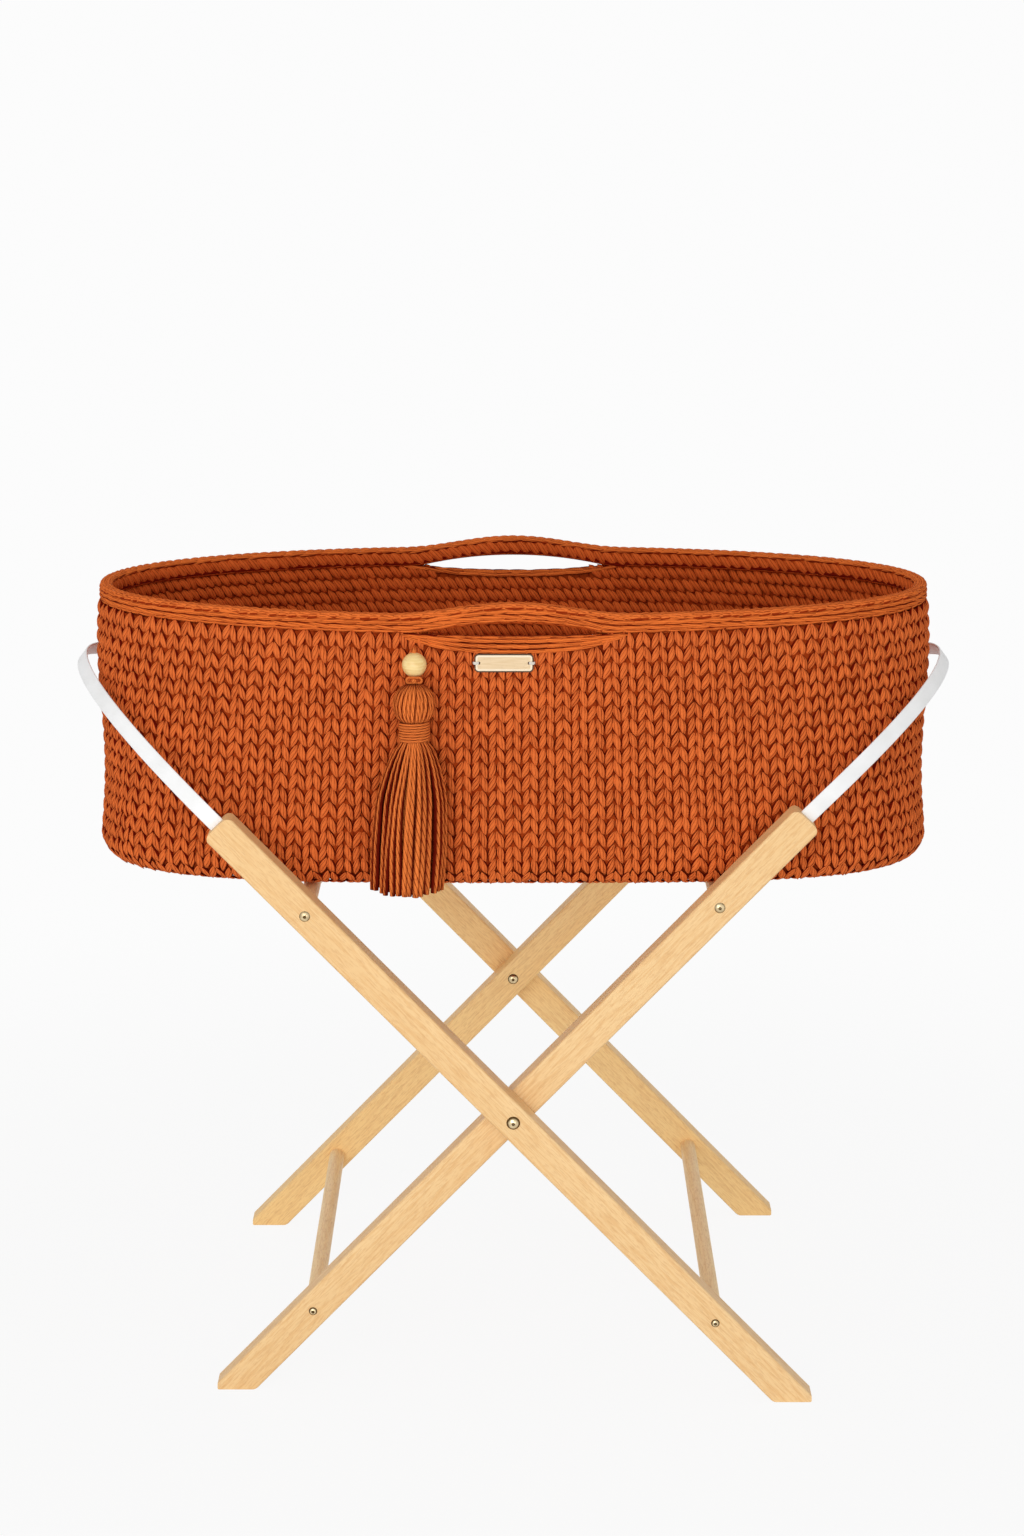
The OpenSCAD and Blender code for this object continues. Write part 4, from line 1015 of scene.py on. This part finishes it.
# Each ring of the skirt: its strands, how far in it lies, and its tone. The inner rings' lower tones are
# painted shade.
SKIRT_RINGS = ((28, 1.0, 0.5), (18, 0.66, -0.2), (7, 0.28, -0.8))
SKIRT_SHARES = ((0.0, 0.0), (0.08, 0.32), (0.2, 0.6), (0.38, 0.9), (0.7, 1.0), (1.0, 0.95))
SKIRT_IN, SKIRT_LEAN, SKIRT_ABOVE, SKIRT_STEPS = 0.002, -0.008, 0.10, 16
HEM_R, HEM_LIFT, HEM_RAGGED = 0.0033, 0.005, 0.002
SKIRT_YARN = ((-0.1, 0.0014), (0.1, 0.0019), (0.5, 0.0030), (0.97, HEM_R), (1.0, HEM_R * 0.85))
TUCKED_ABOVE, TUCKED_IN = 0.02, 0.72
SWAY, SWAY_WAVES = 0.05, (1.0, 2.0)
OVAL_STEPS, WINDING_STEPS, FINE_STEPS = 24, 28, 720
INNER_SHADE_TONE = -2.2
RING_YARN, RING_STEPS, RING_SIDES = 0.00115, 12, 8
AWAY_SHADE, AWAY_FROM, AWAY_TO = 6.0, 0.8, -0.2
chance = np.random.default_rng(7)

head_low, head_high = box_of("tassel_head")
skirt_low, skirt_high = box_of("tassel_skirt")
bound_low, bound_high = box_of("tassel_binding")
head_half, skirt_half = (head_high - head_low) / 2, (skirt_high - skirt_low) / 2
centre = np.array([bead_x, tassel_y])


def oval(turns, half_w, half_d, z):
    """Points round the tassel's axis."""
    turns, half_w, half_d, z = np.broadcast_arrays(turns, half_w, half_d, z)
    return np.column_stack([centre[0] + half_w * np.cos(turns), centre[1] + half_d * np.sin(turns), z])


def strand_tone(rings, tone):
    """The tone of a strand's points, with painted shade on the sides that turn away from the outside."""
    middle = rings.mean(axis=1, keepdims=True)
    away = unit((middle - np.append(centre, 0.0)) * np.array([1.0, 1.0, 0.0]))
    facing = (unit(rings - middle) * away).sum(axis=2)
    return tone + AWAY_SHADE * (np.clip(facing, AWAY_TO, AWAY_FROM) - AWAY_FROM)


def even_turns(count, half_w, half_d, looseness):
    """Angles round an oval that are about equally far apart along it."""
    turns = np.linspace(0.0, math.tau, FINE_STEPS + 1)
    reach = run_of(circle(turns) * np.array([half_w, half_d]))
    spots = np.arange(count) + 0.5 + chance.uniform(-looseness, looseness, count)
    return np.interp(spots / count * reach[-1], reach, turns)


arc = np.linspace(HEAD_BOTTOM, HEAD_TOP, HEAD_STEPS)
climb = (np.sin(arc) - np.sin(arc[0])) / (np.sin(arc[-1]) - np.sin(arc[0]))
head_z = head_low[2] + climb * (head_high[2] - head_low[2])
strand_r = HEAD_YARN * np.cos(arc) ** 0.75 + HEAD_TIP
head_w, head_d = [(half - HEAD_IN) * np.cos(arc) for half in head_half[:2]]
head = []
for at in even_turns(HEAD_STRANDS, *head_half[:2], HEAD_LOOSE):
    rings = tube(oval(at + HEAD_TWIST * np.sin(arc), head_w, head_d, head_z),
                 strand_r * chance.uniform(0.94, 1.06))
    head.append((rings, strand_tone(rings, chance.uniform(0, 1)), False))
all_round = np.arange(OVAL_STEPS) / OVAL_STEPS * math.tau
# A dark core inside the head, in painted shade, so the gaps between its strands look shaded.
head_shade_core = [oval(all_round, *(head_half[:2] - HEAD_SHADE_CORE_IN) * math.cos(a), z) for a, z in zip(arc, head_z)]
head.append((head_shade_core, INNER_SHADE_TONE, False))
put_on(skin_mesh("tassel_head_yarn", head, spun_yarn), "tassel", "yarn", "tassel_head")

turns = np.linspace(0.0, BINDING_TURNS * math.tau, BINDING_TURNS * WINDING_STEPS)
rising = np.linspace(bound_low[2] + BINDING_R, bound_high[2] + BINDING_PAST - BINDING_R, len(turns))
winding = oval(turns, NECK_W / 2 - BINDING_R, NECK_DEPTH / 2 - BINDING_R, rising)
for tip in (0, -1):
    winding[tip, :2] = centre + (winding[tip, :2] - centre) * BINDING_TUCK
rings = tube(winding, BINDING_R)
binding = skin_mesh("tassel_binding_yarn", [(rings, strand_tone(rings, 0.7), False)], spun_yarn)
put_on(binding, "tassel", "yarn", "tassel_binding")

skirt_top, hem_z = bound_low[2], skirt_low[2]
drop = np.linspace(-SKIRT_ABOVE, 1.0, SKIRT_STEPS)
hung = np.clip(drop, 0, 1)
spread = np.interp(hung, *np.array(SKIRT_SHARES).T)
size_along = np.interp(drop, *np.array(SKIRT_YARN).T)
neck_half = np.array([NECK_W, NECK_DEPTH]) / 2
half_w, half_d = [neck - SKIRT_IN + (half - HEM_R - neck + SKIRT_IN) * spread
                  for neck, half in zip(neck_half, skirt_half)]
skirt = []
for strands, ring_in, tone in SKIRT_RINGS:
    inward = np.where(drop < TUCKED_ABOVE, TUCKED_IN, 1.0) * ring_in
    for at in even_turns(strands, *skirt_half[:2], SKIRT_LOOSE):
        end_z = hem_z + HEM_LIFT * math.cos(at) ** 2 + chance.uniform(0.0, HEM_RAGGED)
        sway, waves = chance.uniform(-SWAY, SWAY), chance.uniform(*SWAY_WAVES)
        turns = at + sway * np.sin(drop * math.pi * waves + chance.uniform(0, 6))
        path = oval(turns, half_w * inward, half_d * inward, skirt_top + (end_z - skirt_top) * drop)
        path[:, 0] += SKIRT_LEAN * hung
        rings = tube(path, size_along * chance.uniform(0.9, 1.1))
        skirt.append((rings, strand_tone(rings, tone + chance.uniform(-0.5, 0.5)), False))
# A dark core inside the skirt's bundle, in painted shade.
skirt_shade_core = [oval(all_round, *(neck_half - 2 * BINDING_R), z) for z in (skirt_top, skirt_high[2])]
skirt.append((skirt_shade_core, INNER_SHADE_TONE, False))
put_on(skin_mesh("tassel_skirt_yarn", skirt, spun_yarn), "tassel", "yarn", "tassel_skirt")

ring_half = (loop_high - loop_low) / 2 - RING_YARN
turn = np.linspace(-math.pi / 2, math.pi / 2, RING_STEPS)
bend = np.insert(circle(turn), 1, 0.0, axis=1)
side = ring_half[2] * bend + np.array([ring_half[0] - ring_half[2], 0.0, 0.0])
ring = np.concatenate([side, -side]) + np.array([bead_x, tassel_y, hanger_z])
turn = np.arange(RING_SIDES) / RING_SIDES * math.tau
rings = swept(ring, RING_YARN * circle(turn), np.concatenate([bend, -bend]),
              np.broadcast_to([0.0, 1.0, 0.0], ring.shape))
put_on(skin_mesh("tassel_loop_yarn", [(rings, 0.8, True)], spun_yarn), "tassel", "yarn", "tassel_loop")
